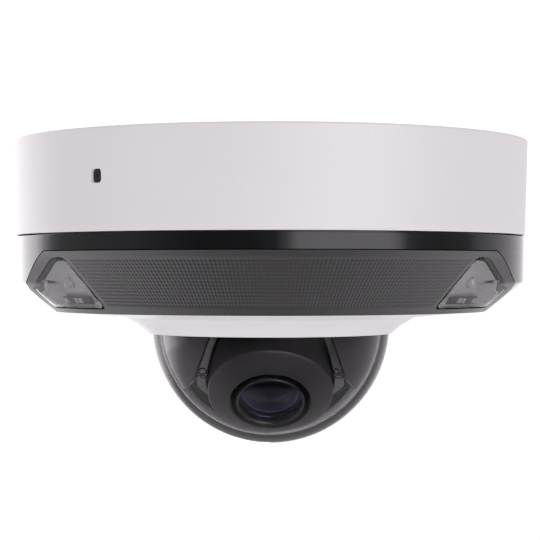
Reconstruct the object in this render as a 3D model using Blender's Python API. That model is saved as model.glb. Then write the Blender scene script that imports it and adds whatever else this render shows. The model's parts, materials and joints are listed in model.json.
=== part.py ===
"""Compact dome surveillance camera for a ceiling, as a bench of separate pieces.

The camera hangs from a mounting plate: +Z is up, the ceiling is the plane z = 0 and the
camera looks towards -Y. A white housing takes the electronics, a black front cover under
it carries a dark grey panel with two infrared windows, and a white trim ring holds the
clear dome. Inside the dome a yoke pans about Z, a head tilts about X, and the lens rolls
about its own axis. All sizes below are in millimetres and degrees.
"""

import math

import bmesh
import bpy
from mathutils import Matrix, Vector

MM = 0.001
GAP = 0.3                       # clearance between faces that would touch
ROUND_STEPS = 48                # flats around the large round pieces
INNER_STEPS = 36                # flats around the gimbal and the dome
SMALL_STEPS = 12                # flats around screws, posts and small bores

# White housing
HOUSING_RADIUS = 61.0
HOUSING_DRAFT = 0.69            # the side wall leans in by this much down to the seam
SEAM_HEIGHT = -22.06            # lower edge of the housing
HOUSING_WALL = 3.2
DECK_THICKNESS = 2.1
LEDGE_HEIGHT = SEAM_HEIGHT + 5.06  # under face of the ledge that the cover screws pull against
LEDGE_THICKNESS = 1.8

# Ceiling plate
PLATE_THICKNESS = 2.8
PLATE_HOLE_RADIUS = 2.3
PLATE_HOLE_CIRCLE = HOUSING_RADIUS - 19.0
CABLE_OPENING_RADIUS = 10.0
CABLE_OFFSET = HOUSING_RADIUS - 25.0  # cable way, behind the centre
GROMMET_RADIUS = 9.0
GROMMET_STEPS = 20
CABLE_BORE = 3.5

# Black front cover and its dark front panel
SEAM_GAP = 0.3
BAND_BOTTOM = SEAM_HEIGHT - 3.87  # lower edge of the glossy band
CHAMFER_TOP = SEAM_HEIGHT - 10.94
UNDERSIDE = SEAM_HEIGHT - 17.74
CHAMFER_REACH = 8.55            # how far the chamfer runs in
COVER_WALL = 3.4
OPENING_RIM = 3.6               # flat left under the cover around the trim ring
PANEL_THICKNESS = 2.0
PANEL_BACKING = 2.1             # cover wall behind the panel
LIP_HEIGHT = 3.0                # how far the cover's lip stands into the housing
LIP_THICKNESS = 5.6
SEAL_WIDTH = 1.8
SHELF_WIDTH = 4.6
SHELF_THICKNESS = 1.5

# Infrared windows, as azimuths from the front at their corners
WINDOW_TOP = BAND_BOTTOM - 1.77
WINDOW_KNEE = UNDERSIDE + 5.9
WINDOW_HEEL = UNDERSIDE + 5.2
WINDOW_BOTTOM = UNDERSIDE + 1.3
WINDOW_INNER_TOP = 49.4
WINDOW_INNER_BOTTOM = 43.5
WINDOW_OUTER_TOP = 53.7
WINDOW_OUTER_KNEE = 64.0
WINDOW_OUTER_HEEL = 68.6
PANE_THICKNESS = 1.4
REFLECTOR_WALL = 1.1
REFLECTOR_DEPTH = 4.3           # from the panel's cone back to the reflector's rear face
CORNER_EASE = 1.6               # how softly the window bay blends into the body

# Trim ring and dome
DOME_RADIUS = 28.5
DOME_WALL = 1.9
DOME_CENTRE = UNDERSIDE - 3.2
DOME_FLANGE = 2.6
DOME_FLANGE_THICKNESS = 1.8
TRIM_FLANGE_THICKNESS = 1.5
COLLAR_WIDTH = 6.3              # from the dome out to the foot of the collar
COLLAR_RIM = UNDERSIDE - 5.4
CLAMP_THICKNESS = 1.2

# Sound port
PORT_AZIMUTH = -37.2
PORT_HEIGHT = 0.4687 * SEAM_HEIGHT
PORT_WIDTH = 2.6
PORT_TALL = 2.9

# Electronics
BOARD_DROP = 3.8                # from the deck down to the main board
BOARD_THICKNESS = 1.6
JACK_WIDTH = 16.4
JACK_DEPTH = 13.6
JACK_HEIGHT = -SEAM_HEIGHT - 8.46
BUTTON_X = -18.0
BUTTON_Y = 29.0
BUTTON_RADIUS = 2.2
BUTTON_TRAVEL = 0.4
SINK_X = -29.0
SINK_Y = -14.0
SINK_SIZE = 20.0
SINK_FINS = 5

# Chassis and pan bearing
CHASSIS_TOP = BAND_BOTTOM - 0.27
CHASSIS_THICKNESS = 1.6
POST_CIRCLE = HOUSING_RADIUS - 22.5
POST_RADIUS = 3.2
SPIGOT_WALL = 3.5
PAN_BASE_THICKNESS = 4.0
FRICTION_RING = 0.8
RETAINER_THICKNESS = 1.6

# Yoke
HEAD_SCALE = DOME_RADIUS / 28.5  # the yoke and head keep their proportions to the dome
CHEEK_CLEARANCE = 0.7           # from the cheeks to the inside of the dome
CHEEK_LIP = 0.8                 # thin skirt of a cheek in front of the head
CHEEK_GAP = 0.5                 # from the head's flank to a cheek
CHEEK_TIP = 16.8 * HEAD_SCALE   # how far the cheeks reach below the tilt axis
CHEEK_LEAN = 0.25               # lean of the cheek's front edge

# Head, measured along the lens axis from the tilt axis
LENS_ANGLE = 45.0               # lens axis below the horizon at rest
HEAD_RADIUS = 17.0 * HEAD_SCALE
HEAD_WALL = 1.8
HEAD_FRONT = 18.0 * HEAD_SCALE
HEAD_BACK = -4.2 * HEAD_SCALE
REAR_DEPTH = 7.0 * HEAD_SCALE
REAR_TAPER = 2.0
FACE_RADIUS = HEAD_RADIUS - HEAD_WALL - 1.0
FACE_CREASE = 21.6 * HEAD_SCALE
FACE_WALL = 1.3
LENS_RADIUS = 7.85 * HEAD_SCALE
LENS_HOLE_RADIUS = LENS_RADIUS + 1.25
LENS_FRONT = 24.6 * HEAD_SCALE
BARREL_RADIUS = LENS_RADIUS - 0.75
BARREL_BORE = BARREL_RADIUS - 1.5
HOLDER_FRONT = 14.0 * HEAD_SCALE
HOLDER_BACK = 3.9 * HEAD_SCALE
PIVOT_RADIUS = 2.0
PIVOT_HEAD_RADIUS = 3.2
SENSOR_BOARD = 17.0 * HEAD_SCALE


# Heights and radii that follow from the sizes above
DECK_TOP = -PLATE_THICKNESS - GAP
DECK_BOTTOM = DECK_TOP - DECK_THICKNESS
BOARD_TOP = DECK_BOTTOM - BOARD_DROP
HOUSING_INNER = HOUSING_RADIUS - HOUSING_WALL
SEAM_RADIUS = HOUSING_RADIUS - HOUSING_DRAFT
COVER_TOP = SEAM_HEIGHT - SEAM_GAP
COVER_RADIUS = SEAM_RADIUS - 0.11
CHAMFER_RADIUS = COVER_RADIUS - 0.2
UNDERSIDE_RADIUS = CHAMFER_RADIUS - CHAMFER_REACH
OPENING_RADIUS = UNDERSIDE_RADIUS - OPENING_RIM
SHELF_INNER = OPENING_RADIUS - SHELF_WIDTH
LIP_RADIUS = HOUSING_INNER - GAP
LIP_TOP = COVER_TOP + LIP_HEIGHT
LIP_INNER = LIP_RADIUS - LIP_THICKNESS
SEAL_INNER = LIP_RADIUS - SEAL_WIDTH
BOSS_CIRCLE = LIP_INNER + 1.9
LEDGE_INNER = LIP_INNER - 0.5
TRIM_TOP = UNDERSIDE - 0.2 + TRIM_FLANGE_THICKNESS
TRIM_RADIUS = OPENING_RADIUS - GAP
CLAMP_BOTTOM = TRIM_TOP + GAP
CLAMP_TOP = CLAMP_BOTTOM + CLAMP_THICKNESS
SHELF_BOTTOM = CLAMP_TOP + GAP
SHELF_TOP = SHELF_BOTTOM + SHELF_THICKNESS
TRIM_SCREW_CIRCLE = SHELF_INNER + 2.1
DOME_INNER = DOME_RADIUS - DOME_WALL
FLANGE_RADIUS = DOME_RADIUS + DOME_FLANGE
FLANGE_BOTTOM = DOME_CENTRE + 1.0
FLANGE_TOP = FLANGE_BOTTOM + DOME_FLANGE_THICKNESS
BOARD_BOTTOM = BOARD_TOP - BOARD_THICKNESS
BOARD_RADIUS = LEDGE_INNER - 2.5
CHASSIS_BOTTOM = CHASSIS_TOP - CHASSIS_THICKNESS
CHASSIS_RADIUS = OPENING_RADIUS - 4.0
CHEEK_RADIUS = DOME_INNER - CHEEK_CLEARANCE
CHEEK_INNER = HEAD_RADIUS + CHEEK_GAP
PAN_INNER = HEAD_RADIUS + HEAD_WALL + 1.7
SPIGOT_RADIUS = PAN_INNER + SPIGOT_WALL
PAN_HOLE_RADIUS = SPIGOT_RADIUS + GAP + 0.1
RETAINER_RADIUS = PAN_HOLE_RADIUS + 3.6
FRICTION_TOP = CHASSIS_BOTTOM - GAP
PAN_TOP = FRICTION_TOP - FRICTION_RING - GAP
PAN_BOTTOM = PAN_TOP - PAN_BASE_THICKNESS
YOKE_SCREW_CIRCLE = PAN_INNER + 1.7
YOKE_SCREW_ANGLE = 21.7
CHEEK_TOP = PAN_BOTTOM - GAP


def spread(count, first):
    """Evenly spread angles around a circle, in degrees."""
    return [first + 360.0 * index / count for index in range(count)]


def between(value, points):
    """Straight-line interpolation through (input, output) points in falling input order."""
    if value >= points[0][0]:
        return points[0][1]
    for (high, at_high), (low, at_low) in zip(points, points[1:]):
        if value >= low:
            share = (high - value) / (high - low)
            return at_high + share * (at_low - at_high)
    return points[-1][1]


def around(radius, azimuth, height):
    """A point at an azimuth counted from the front towards +X, in millimetres."""
    turn = math.radians(azimuth)
    return Vector((radius * math.sin(turn), -radius * math.cos(turn), height))


def finish(name, color, roughness, metallic=0.0, clear=0.0):
    """One Principled material; clear is the share of light that passes through."""
    material = bpy.data.materials.new(name)
    material.use_nodes = True
    shader = material.node_tree.nodes["Principled BSDF"]
    shader.inputs["Base Color"].default_value = (*color, 1.0)
    shader.inputs["Roughness"].default_value = roughness
    shader.inputs["Metallic"].default_value = metallic
    shader.inputs["Transmission Weight"].default_value = clear
    material.diffuse_color = (*color, 1.0 - 0.65 * clear)
    return material


WHITE_PLASTIC = ((0.75, 0.74, 0.75), 0.45)
GLOSS_BLACK = ((0.012, 0.011, 0.013), 0.12)
DARK_GREY = ((0.075, 0.072, 0.075), 0.5)
BLACK_PLASTIC = ((0.02, 0.02, 0.021), 0.4)
SATIN_BLACK = ((0.028, 0.027, 0.028), 0.32)
RUBBER = ((0.03, 0.03, 0.03), 0.75)
STEEL = ((0.6, 0.6, 0.6), 0.3, 1.0)
ALUMINIUM = ((0.7, 0.7, 0.71), 0.35, 1.0)
BOARD_GREEN = ((0.02, 0.11, 0.05), 0.5)
CHIP_BLACK = ((0.02, 0.02, 0.022), 0.45)
REFLECTOR_GREY = ((0.5, 0.49, 0.5), 0.4)
CLEAR = ((0.9, 0.9, 0.92), 0.03, 0.0, 0.95)
COATED_GLASS = ((0.12, 0.12, 0.2), 0.03, 0.0, 0.7)


def add_object(name, shape, look=None, holder=None):
    """Links a bmesh as an object. Without a look it is a cutter or a body to be joined."""
    bmesh.ops.remove_doubles(shape, verts=shape.verts, dist=1e-7)
    bmesh.ops.recalc_face_normals(shape, faces=shape.faces)
    mesh = bpy.data.meshes.new(name)
    shape.to_mesh(mesh)
    shape.free()
    mesh.shade_smooth()
    mesh.set_sharp_from_angle(angle=math.radians(35))
    piece = bpy.data.objects.new(name, mesh)
    bpy.context.scene.collection.objects.link(piece)
    piece.parent = holder
    if look:
        mesh.materials.append(finish(name, *look))
    else:
        piece.hide_render = True
        piece.display_type = 'WIRE'
    return piece


def turned_shape(profile, steps=ROUND_STEPS, place=None):
    """A ring or disc turned about Z from (radius, height) points.

    A profile that starts on the axis also ends on it; any other profile is a closed loop.
    place is a matrix, in millimetres, that moves the finished shape.
    """
    shape = bmesh.new()
    corners = [shape.verts.new((radius, 0.0, height)) for radius, height in profile]
    sides = [shape.edges.new(pair) for pair in zip(corners, corners[1:])]
    if profile[0][0] > 0.0:
        sides.append(shape.edges.new((corners[-1], corners[0])))
    bmesh.ops.spin(shape, geom=corners + sides, cent=(0, 0, 0), axis=(0, 0, 1),
                   angle=math.tau, steps=steps, use_merge=True)
    bmesh.ops.remove_doubles(shape, verts=shape.verts, dist=1e-4)
    if place:
        shape.transform(place)
    shape.transform(Matrix.Scale(MM, 4))
    return shape


def turned(name, profile, look, holder=None, steps=ROUND_STEPS, place=None):
    return add_object(name, turned_shape(profile, steps, place), look, holder)


def block_shape(low, high, place=None):
    """A box between two corners, optionally moved by a matrix in millimetres."""
    shape = bmesh.new()
    middle = (Vector(low) + Vector(high)) / 2.0
    size = Vector(high) - Vector(low)
    bmesh.ops.create_cube(shape, size=1.0)
    shape.transform(Matrix.Translation(middle) @ Matrix.Diagonal((*size, 1.0)))
    if place:
        shape.transform(place)
    shape.transform(Matrix.Scale(MM, 4))
    return shape


def block(name, low, high, look, holder=None, place=None):
    return add_object(name, block_shape(low, high, place), look, holder)


def loft_shape(loops, closed):
    """Skins a row of closed loops with equal point counts; an open row gets end faces."""
    shape = bmesh.new()
    rings = [[shape.verts.new(Vector(point) * MM) for point in loop] for loop in loops]
    count = len(rings[0])
    pairs = list(zip(rings, rings[1:]))
    if closed:
        pairs.append((rings[-1], rings[0]))
    else:
        shape.faces.new(rings[0])
        shape.faces.new(rings[-1])
    for ring, following in pairs:
        for index in range(count):
            after = (index + 1) % count
            shape.faces.new((ring[index], ring[after], following[after], following[index]))
    return shape


def aimed(point, direction):
    """A matrix that puts the origin at point and turns -Z towards direction."""
    turn = Vector((0, 0, -1)).rotation_difference(Vector(direction))
    return Matrix.Translation(Vector(point)) @ turn.to_matrix().to_4x4()


def screw(name, point, direction, shank, length, head, head_height, holder=None):
    """A plain cap screw whose head rests at point; the shank runs along direction."""
    profile = [(0.0, head_height), (head, head_height), (head, 0.0), (shank, 0.0),
               (shank, -length), (0.0, -length)]
    return turned(name, profile, STEEL, holder, SMALL_STEPS, aimed(point, direction))


def bore(point, direction, radius, length, steps=SMALL_STEPS):
    """A round cutter that runs from point along direction."""
    profile = [(0.0, 0.0), (radius, 0.0), (radius, -length), (0.0, -length)]
    return turned_shape(profile, steps, aimed(point, direction))


def combine(piece, shapes, operation):
    """One exact Boolean with shapes that stay clear of each other."""
    gathered = bmesh.new()
    for shape in shapes:
        bmesh.ops.recalc_face_normals(shape, faces=shape.faces)
        carrier = bpy.data.meshes.new("carrier")
        shape.to_mesh(carrier)
        shape.free()
        gathered.from_mesh(carrier)
        bpy.data.meshes.remove(carrier)
    other = add_object(f"{piece.name}_{operation.lower()}", gathered, None, piece.parent)
    change = piece.modifiers.new(operation.lower(), 'BOOLEAN')
    change.operation = operation
    change.object = other
    change.solver = 'EXACT'


def cut(piece, *shapes):
    combine(piece, shapes, 'DIFFERENCE')


def join(piece, *shapes):
    combine(piece, shapes, 'UNION')


def wall_shape(rows, outer, inner):
    """A curved wall on a grid of (azimuth, height) rows between two radius functions."""
    shape = bmesh.new()
    layers = []
    for radius in (outer, inner):
        layers.append([[shape.verts.new(around(radius(azimuth, height), azimuth, height) * MM)
                        for azimuth, height in row] for row in rows])
    skin, back = layers
    last = len(rows[0]) - 1
    for row in range(len(rows) - 1):
        for column in range(last):
            for layer in layers:
                shape.faces.new((layer[row][column], layer[row][column + 1],
                                 layer[row + 1][column + 1], layer[row + 1][column]))
        for column in (0, last):
            shape.faces.new((skin[row][column], skin[row + 1][column],
                             back[row + 1][column], back[row][column]))
    for row in (0, len(rows) - 1):
        for column in range(last):
            shape.faces.new((skin[row][column], skin[row][column + 1],
                             back[row][column + 1], back[row][column]))
    return shape


def wall(name, rows, outer, inner, look):
    return add_object(name, wall_shape(rows, outer, inner), look)


# ---------------------------------------------------------------- front surface

def body_radius(height):
    """Outer radius of the cover: nearly straight, then the chamfer."""
    return between(height, [(COVER_TOP, COVER_RADIUS), (CHAMFER_TOP, CHAMFER_RADIUS),
                            (UNDERSIDE, UNDERSIDE_RADIUS)])


def cone_radius(height):
    """Radius of the leaning front panel, from the band down to the underside."""
    return between(height, [(BAND_BOTTOM, body_radius(BAND_BOTTOM)),
                            (UNDERSIDE, UNDERSIDE_RADIUS)])


def bay_inner(height):
    """Azimuth where the window bay starts to leave the cone."""
    return between(height, [(WINDOW_TOP, WINDOW_INNER_TOP),
                            (WINDOW_BOTTOM, WINDOW_INNER_BOTTOM)])


def bay_outer(height):
    """Azimuth of the panel's outer edge, where it is flush with the body."""
    return between(height, [(BAND_BOTTOM, 55.3), (BAND_BOTTOM - 1.0, 57.8),
                            (WINDOW_TOP - 0.3, 59.6),
                            (CHAMFER_TOP, 66.3), (WINDOW_HEEL, 71.2),
                            (WINDOW_HEEL - 1.8, 73.4), (UNDERSIDE, 74.5)])


def front_radius(azimuth, height):
    """Panel surface: the cone in the middle, easing out to the body in the window bays."""
    inner = bay_inner(height)
    share = (abs(azimuth) - inner) / (bay_outer(height) - inner)
    share = min(max(share, 0.0), 1.0)
    cone = cone_radius(height)
    return cone + share ** CORNER_EASE * (body_radius(height) - cone)


def window_outer(height):
    """Azimuth of the window's outer edge."""
    return between(height, [(WINDOW_TOP, WINDOW_OUTER_TOP), (WINDOW_KNEE, WINDOW_OUTER_KNEE),
                            (WINDOW_HEEL, WINDOW_OUTER_HEEL),
                            (WINDOW_BOTTOM, WINDOW_OUTER_HEEL + 0.4)])


def window_rows(side, grow, columns=5):
    """Grid rows over a window bay, grown outwards by a margin in millimetres."""
    margin = math.degrees(grow / UNDERSIDE_RADIUS)
    heights = [WINDOW_TOP + grow, (WINDOW_TOP + WINDOW_KNEE) / 2, WINDOW_KNEE, WINDOW_HEEL,
               WINDOW_BOTTOM - grow]
    rows = []
    for height in heights:
        first = bay_inner(height) - margin
        last = window_outer(height) + margin
        rows.append([(side * (first + (last - first) * column / columns), height)
                     for column in range(columns + 1)])
    return rows


def panel_rows(grow, columns=24, overrun=0.0):
    """Grid rows over the whole panel; overrun carries a cutter on past the underside."""
    margin = math.degrees(grow / UNDERSIDE_RADIUS)
    heights = [BAND_BOTTOM - GAP / 2 + grow, BAND_BOTTOM - 1.0, WINDOW_TOP - 0.3,
               CHAMFER_TOP + 2.5, CHAMFER_TOP, CHAMFER_TOP - 2.0, UNDERSIDE + 2.6, UNDERSIDE]
    if overrun:
        heights.append(UNDERSIDE - overrun)
    rows = []
    for height in heights:
        edge = bay_outer(height) + margin
        rows.append([(edge * (2.0 * column / columns - 1.0), height)
                     for column in range(columns + 1)])
    return rows


# ---------------------------------------------------------------- housing group

def post_angles():
    return spread(3, 0.0)


def boss_angles():
    return spread(3, 60.0)


def board_screw_places():
    return [(24.0, -22.0), (-24.0, 22.0)]


def make_mounting_plate():
    radius = HOUSING_INNER - GAP
    plate = turned("mounting_plate", [(0, 0), (radius, 0), (radius, -PLATE_THICKNESS),
                                      (0, -PLATE_THICKNESS)], STEEL)
    holes = [bore(around(PLATE_HOLE_CIRCLE, angle, 1), (0, 0, -1), PLATE_HOLE_RADIUS, 6)
             for angle in spread(3, 0.0)]
    middle = -PLATE_THICKNESS / 2
    cut(plate, *holes, bore((0, CABLE_OFFSET, 1), (0, 0, -1), CABLE_OPENING_RADIUS, 6),
        bore(around(radius + 1, 180, middle), (0, -1, 0), 0.9, 6))
    screw("locking_screw", around(HOUSING_RADIUS - 1.2, 180, middle),
          (0, -1, 0), 0.5, 6.0, 0.7, 0.8)


def make_base_housing():
    ledge_top = LEDGE_HEIGHT + LEDGE_THICKNESS
    profile = [(0, DECK_TOP), (HOUSING_INNER, DECK_TOP), (HOUSING_INNER, 0),
               (HOUSING_RADIUS, 0), (SEAM_RADIUS, SEAM_HEIGHT),
               (HOUSING_INNER, SEAM_HEIGHT), (HOUSING_INNER, LEDGE_HEIGHT),
               (LEDGE_INNER, LEDGE_HEIGHT), (LEDGE_INNER, ledge_top),
               (HOUSING_INNER, ledge_top), (HOUSING_INNER, DECK_BOTTOM), (0, DECK_BOTTOM)]
    housing = turned("base_housing", profile, WHITE_PLASTIC)
    embed = DECK_THICKNESS / 2
    posts = [post_shape(around(POST_CIRCLE, angle, DECK_BOTTOM + embed), CHASSIS_TOP + GAP,
                        POST_RADIUS, 1.4 + GAP, 8.0) for angle in post_angles()]
    posts += [post_shape((x, y, DECK_BOTTOM + embed), BOARD_TOP + GAP, 2.8, 0.9 + GAP, 3.4)
              for x, y in board_screw_places()]
    join(housing, *posts)
    holes = [bore(around(BOSS_CIRCLE, angle, LEDGE_HEIGHT - 1), (0, 0, 1), 1.0 + GAP,
                  LEDGE_THICKNESS + 2) for angle in boss_angles()]
    over = DECK_TOP + 1
    holes.append(bore((0, CABLE_OFFSET, over), (0, 0, -1), GROMMET_RADIUS,
                      DECK_THICKNESS + 2, steps=GROMMET_STEPS))
    holes.append(bore((BUTTON_X, BUTTON_Y, over), (0, 0, -1), BUTTON_RADIUS + GAP,
                      DECK_THICKNESS + 2))
    holes.append(bore(around(HOUSING_INNER - 1, 180, -PLATE_THICKNESS / 2), (0, 1, 0),
                      1.0, HOUSING_WALL + 2))
    port = Matrix.Rotation(math.radians(PORT_AZIMUTH), 4, 'Z')
    holes.append(block_shape((-PORT_WIDTH / 2, -HOUSING_RADIUS - 1,
                              PORT_HEIGHT - PORT_TALL / 2),
                             (PORT_WIDTH / 2, -HOUSING_INNER + 1, PORT_HEIGHT + PORT_TALL / 2),
                             port))
    cut(housing, *holes)
    front = HOUSING_INNER * math.cos(math.asin(2.6 / HOUSING_INNER)) - 2 * GAP
    block("microphone", (-2.6, -front, PORT_HEIGHT - 2.2), (2.6, -front + 4.0, PORT_HEIGHT + 2.2),
          RUBBER, place=port)
    seal_top = LEDGE_HEIGHT - GAP
    turned("housing_seal", [(LIP_RADIUS, seal_top), (LIP_RADIUS, LIP_TOP + GAP),
                            (SEAL_INNER, LIP_TOP + GAP), (SEAL_INNER, seal_top)],
           RUBBER, steps=48)
    for number, angle in enumerate(boss_angles(), 1):
        screw(f"cover_screw_{number}", around(BOSS_CIRCLE, angle, ledge_top + GAP),
              (0, 0, -1), 1.0, 6.8, 1.8, 1.4)


def post_shape(foot, end, radius, hole, depth):
    """A post that hangs from foot down to the height end, with a blind hole in its end."""
    length = foot[2] - end
    profile = [(0, 0), (radius, 0), (radius, -length), (hole, -length),
               (hole, -length + depth), (0, -length + depth)]
    return turned_shape(profile, SMALL_STEPS, Matrix.Translation(foot))


def make_cable_entry():
    hub = GROMMET_RADIUS - GAP
    brim = -DECK_THICKNESS - GAP
    turned("cable_grommet", [(hub, 0), (hub, brim), (GROMMET_RADIUS + 2.0, brim),
                             (GROMMET_RADIUS + 2.0, brim - 1.5), (CABLE_BORE, brim - 1.5),
                             (CABLE_BORE, 0)], RUBBER, steps=GROMMET_STEPS,
           place=Matrix.Translation((0, CABLE_OFFSET, DECK_TOP)))
    jack_top = BOARD_BOTTOM - GAP
    jack = block("network_jack", (-JACK_WIDTH / 2, CABLE_OFFSET - JACK_DEPTH / 2,
                                  jack_top - JACK_HEIGHT),
                 (JACK_WIDTH / 2, CABLE_OFFSET + JACK_DEPTH / 2, jack_top), BLACK_PLASTIC)
    cut(jack, block_shape((-6.0, CABLE_OFFSET - 4.2, jack_top - 11.5),
                          (6.0, CABLE_OFFSET + 4.2, jack_top + 1)))


def make_reset_button():
    """The button hangs in the deck on its own flange and presses a switch on the board."""
    holder = add_empty("reset_press", (BUTTON_X, BUTTON_Y, DECK_TOP))
    flange_top = -DECK_THICKNESS - GAP
    turned("reset_button", [(0, -GAP), (BUTTON_RADIUS, -GAP), (BUTTON_RADIUS, flange_top),
                            (BUTTON_RADIUS + 1.0, flange_top),
                            (BUTTON_RADIUS + 1.0, flange_top - 0.8), (0, flange_top - 0.8)],
           RUBBER, holder, SMALL_STEPS)
    switch_top = DECK_TOP + flange_top - 0.8 - BUTTON_TRAVEL - GAP
    block("reset_switch", (BUTTON_X - 2, BUTTON_Y - 2, BOARD_TOP + GAP),
          (BUTTON_X + 2, BUTTON_Y + 2, switch_top), CHIP_BLACK)


def make_electronics():
    board = turned("main_board", [(0, BOARD_TOP), (BOARD_RADIUS, BOARD_TOP),
                                  (BOARD_RADIUS, BOARD_BOTTOM), (0, BOARD_BOTTOM)],
                   BOARD_GREEN, steps=48)
    holes = [bore(around(POST_CIRCLE, angle, BOARD_TOP + 1), (0, 0, -1),
                  POST_RADIUS + 0.6, BOARD_THICKNESS + 2) for angle in post_angles()]
    holes.append(block_shape((-6.6, CABLE_OFFSET - 4.8, BOARD_BOTTOM - 1),
                             (6.6, CABLE_OFFSET + 4.8, BOARD_TOP + 1)))
    for number, (x, y) in enumerate(board_screw_places(), 1):
        holes.append(bore((x, y, BOARD_TOP + 1), (0, 0, -1), 0.9 + GAP, BOARD_THICKNESS + 2))
        screw(f"board_screw_{number}", (x, y, BOARD_BOTTOM - GAP), (0, 0, 1), 0.9,
              BOARD_THICKNESS + 3.4, 1.9, 1.4)
    cut(board, *holes)
    chip_top = BOARD_BOTTOM - GAP
    block("system_chip", (SINK_X - 7, SINK_Y - 7, chip_top - 1.2),
          (SINK_X + 7, SINK_Y + 7, chip_top), CHIP_BLACK)
    sink_top = chip_top - 1.2 - GAP
    half = SINK_SIZE / 2
    sink = block("heat_sink", (SINK_X - half, SINK_Y - half, sink_top - 8.0),
                 (SINK_X + half, SINK_Y + half, sink_top), ALUMINIUM)
    pitch = SINK_SIZE / SINK_FINS
    left = SINK_X - half
    cut(sink, *[block_shape((left + slot * pitch - 1.2, SINK_Y - half - 1, sink_top - 9.0),
                            (left + slot * pitch + 1.2, SINK_Y + half + 1, sink_top - 2.0))
                for slot in range(1, SINK_FINS)])
    socket_y = 2.0
    socket = block("card_socket", (27.0, socket_y - 7, chip_top - 2.4),
                   (42.0, socket_y + 7, chip_top), STEEL)
    cut(socket, block_shape((30.0, socket_y - 5.6, chip_top - 1.7),
                            (43.0, socket_y + 5.6, chip_top - 0.6)))


# ---------------------------------------------------------------- front cover group

def cover_inner(azimuth, height):
    """Inner radius of the cover: set further in where it backs the panel."""
    behind_panel = between(-abs(azimuth), [(-66.0, 1.0), (-80.0, 0.0)])
    backed = PANEL_THICKNESS + GAP + PANEL_BACKING
    return front_radius(azimuth, height) - COVER_WALL - behind_panel * (backed - COVER_WALL)


def make_front_cover():
    """One section is worked out for each azimuth, and the sections are skinned."""
    foot = COVER_TOP - 2.0
    inner_heights = (SHELF_TOP, CHAMFER_TOP, CHAMFER_TOP + 4.5, foot)
    columns = ROUND_STEPS
    loops = []
    for column in range(columns):
        azimuth = 360.0 * column / columns - 180.0
        section = [(LIP_INNER, LIP_TOP), (LIP_RADIUS, LIP_TOP), (LIP_RADIUS, COVER_TOP),
                   (COVER_RADIUS, COVER_TOP), (CHAMFER_RADIUS, CHAMFER_TOP),
                   (UNDERSIDE_RADIUS, UNDERSIDE), (OPENING_RADIUS, UNDERSIDE),
                   (OPENING_RADIUS, SHELF_BOTTOM), (SHELF_INNER, SHELF_BOTTOM),
                   (SHELF_INNER, SHELF_TOP)]
        section += [(cover_inner(azimuth, height), height) for height in inner_heights]
        section.append((LIP_INNER, foot))
        loops.append([around(radius, azimuth, height) for radius, height in section])
    cover = add_object("front_cover", loft_shape(loops, closed=True), GLOSS_BLACK)
    cut(cover, wall_shape(panel_rows(GAP, overrun=2.0),
                          lambda azimuth, height: body_radius(height) + 3.0,
                          lambda azimuth, height: front_radius(azimuth, height)
                          - PANEL_THICKNESS - GAP))
    cut(cover, *[wall_shape(window_rows(side, GAP * 2),
                            lambda azimuth, height: body_radius(height) + 2.0,
                            lambda azimuth, height: cone_radius(height) - REFLECTOR_DEPTH - 1.5)
                 for side in (-1, 1)],
        *[bore(around(BOSS_CIRCLE, angle, LIP_TOP + 1), (0, 0, -1), 1.0 + GAP, 5.2)
          for angle in boss_angles()],
        *[bore(around(TRIM_SCREW_CIRCLE, angle, SHELF_TOP + 1), (0, 0, -1), 0.9 + GAP,
               SHELF_THICKNESS + 2) for angle in trim_screw_angles()])


def make_front_panel():
    panel = wall("front_panel", panel_rows(0.0), front_radius,
                 lambda azimuth, height: front_radius(azimuth, height) - PANEL_THICKNESS,
                 DARK_GREY)
    cut(panel, *[wall_shape(window_rows(side, GAP),
                            lambda azimuth, height: front_radius(azimuth, height) + 2.0,
                            lambda azimuth, height: front_radius(azimuth, height)
                            - PANEL_THICKNESS - 2.0) for side in (-1, 1)])


def make_infrared_units():
    """Each side has a clear pane, a pale reflector cup, an emitter and a strip of chips."""
    for side, word in ((-1, "left"), (1, "right")):
        wall(f"window_{word}", window_rows(side, 0.0), front_radius,
             lambda azimuth, height: front_radius(azimuth, height) - PANE_THICKNESS, CLEAR)
        cup = wall(f"reflector_{word}", window_rows(side, 0.0),
                   lambda azimuth, height: front_radius(azimuth, height)
                   - PANE_THICKNESS - GAP,
                   lambda azimuth, height: cone_radius(height) - REFLECTOR_DEPTH,
                   REFLECTOR_GREY)
        cut(cup, wall_shape(window_rows(side, -REFLECTOR_WALL),
                            lambda azimuth, height: front_radius(azimuth, height) + 1.0,
                            lambda azimuth, height: cone_radius(height)
                            - REFLECTOR_DEPTH + REFLECTOR_WALL))
        floor = REFLECTOR_DEPTH - REFLECTOR_WALL - GAP
        emitter_height = WINDOW_KNEE + 1.9
        azimuth = side * 56.0
        radius = cone_radius(emitter_height) - floor
        normal = around(1.0, azimuth, 0.0) + Vector((0, 0, -0.63))
        place = aimed(around(radius + 0.9, azimuth, emitter_height), -normal)
        turned(f"ir_emitter_{word}", [(0, 0.9), (0.8, 0.7), (1.3, 0.0), (1.3, -0.6), (0, -0.6)],
               CLEAR, None, SMALL_STEPS, place)
        strip_rows = [[(side * (49.0 + 14.0 * column / 4), height) for column in range(5)]
                      for height in (WINDOW_BOTTOM + 3.3, WINDOW_BOTTOM + 1.5)]
        wall(f"ir_board_{word}", strip_rows,
             lambda azimuth, height: cone_radius(height) - floor + 0.9,
             lambda azimuth, height: cone_radius(height) - floor, BOARD_GREEN)


# ---------------------------------------------------------------- dome group

def trim_screw_angles():
    return spread(3, 0.0)


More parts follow.
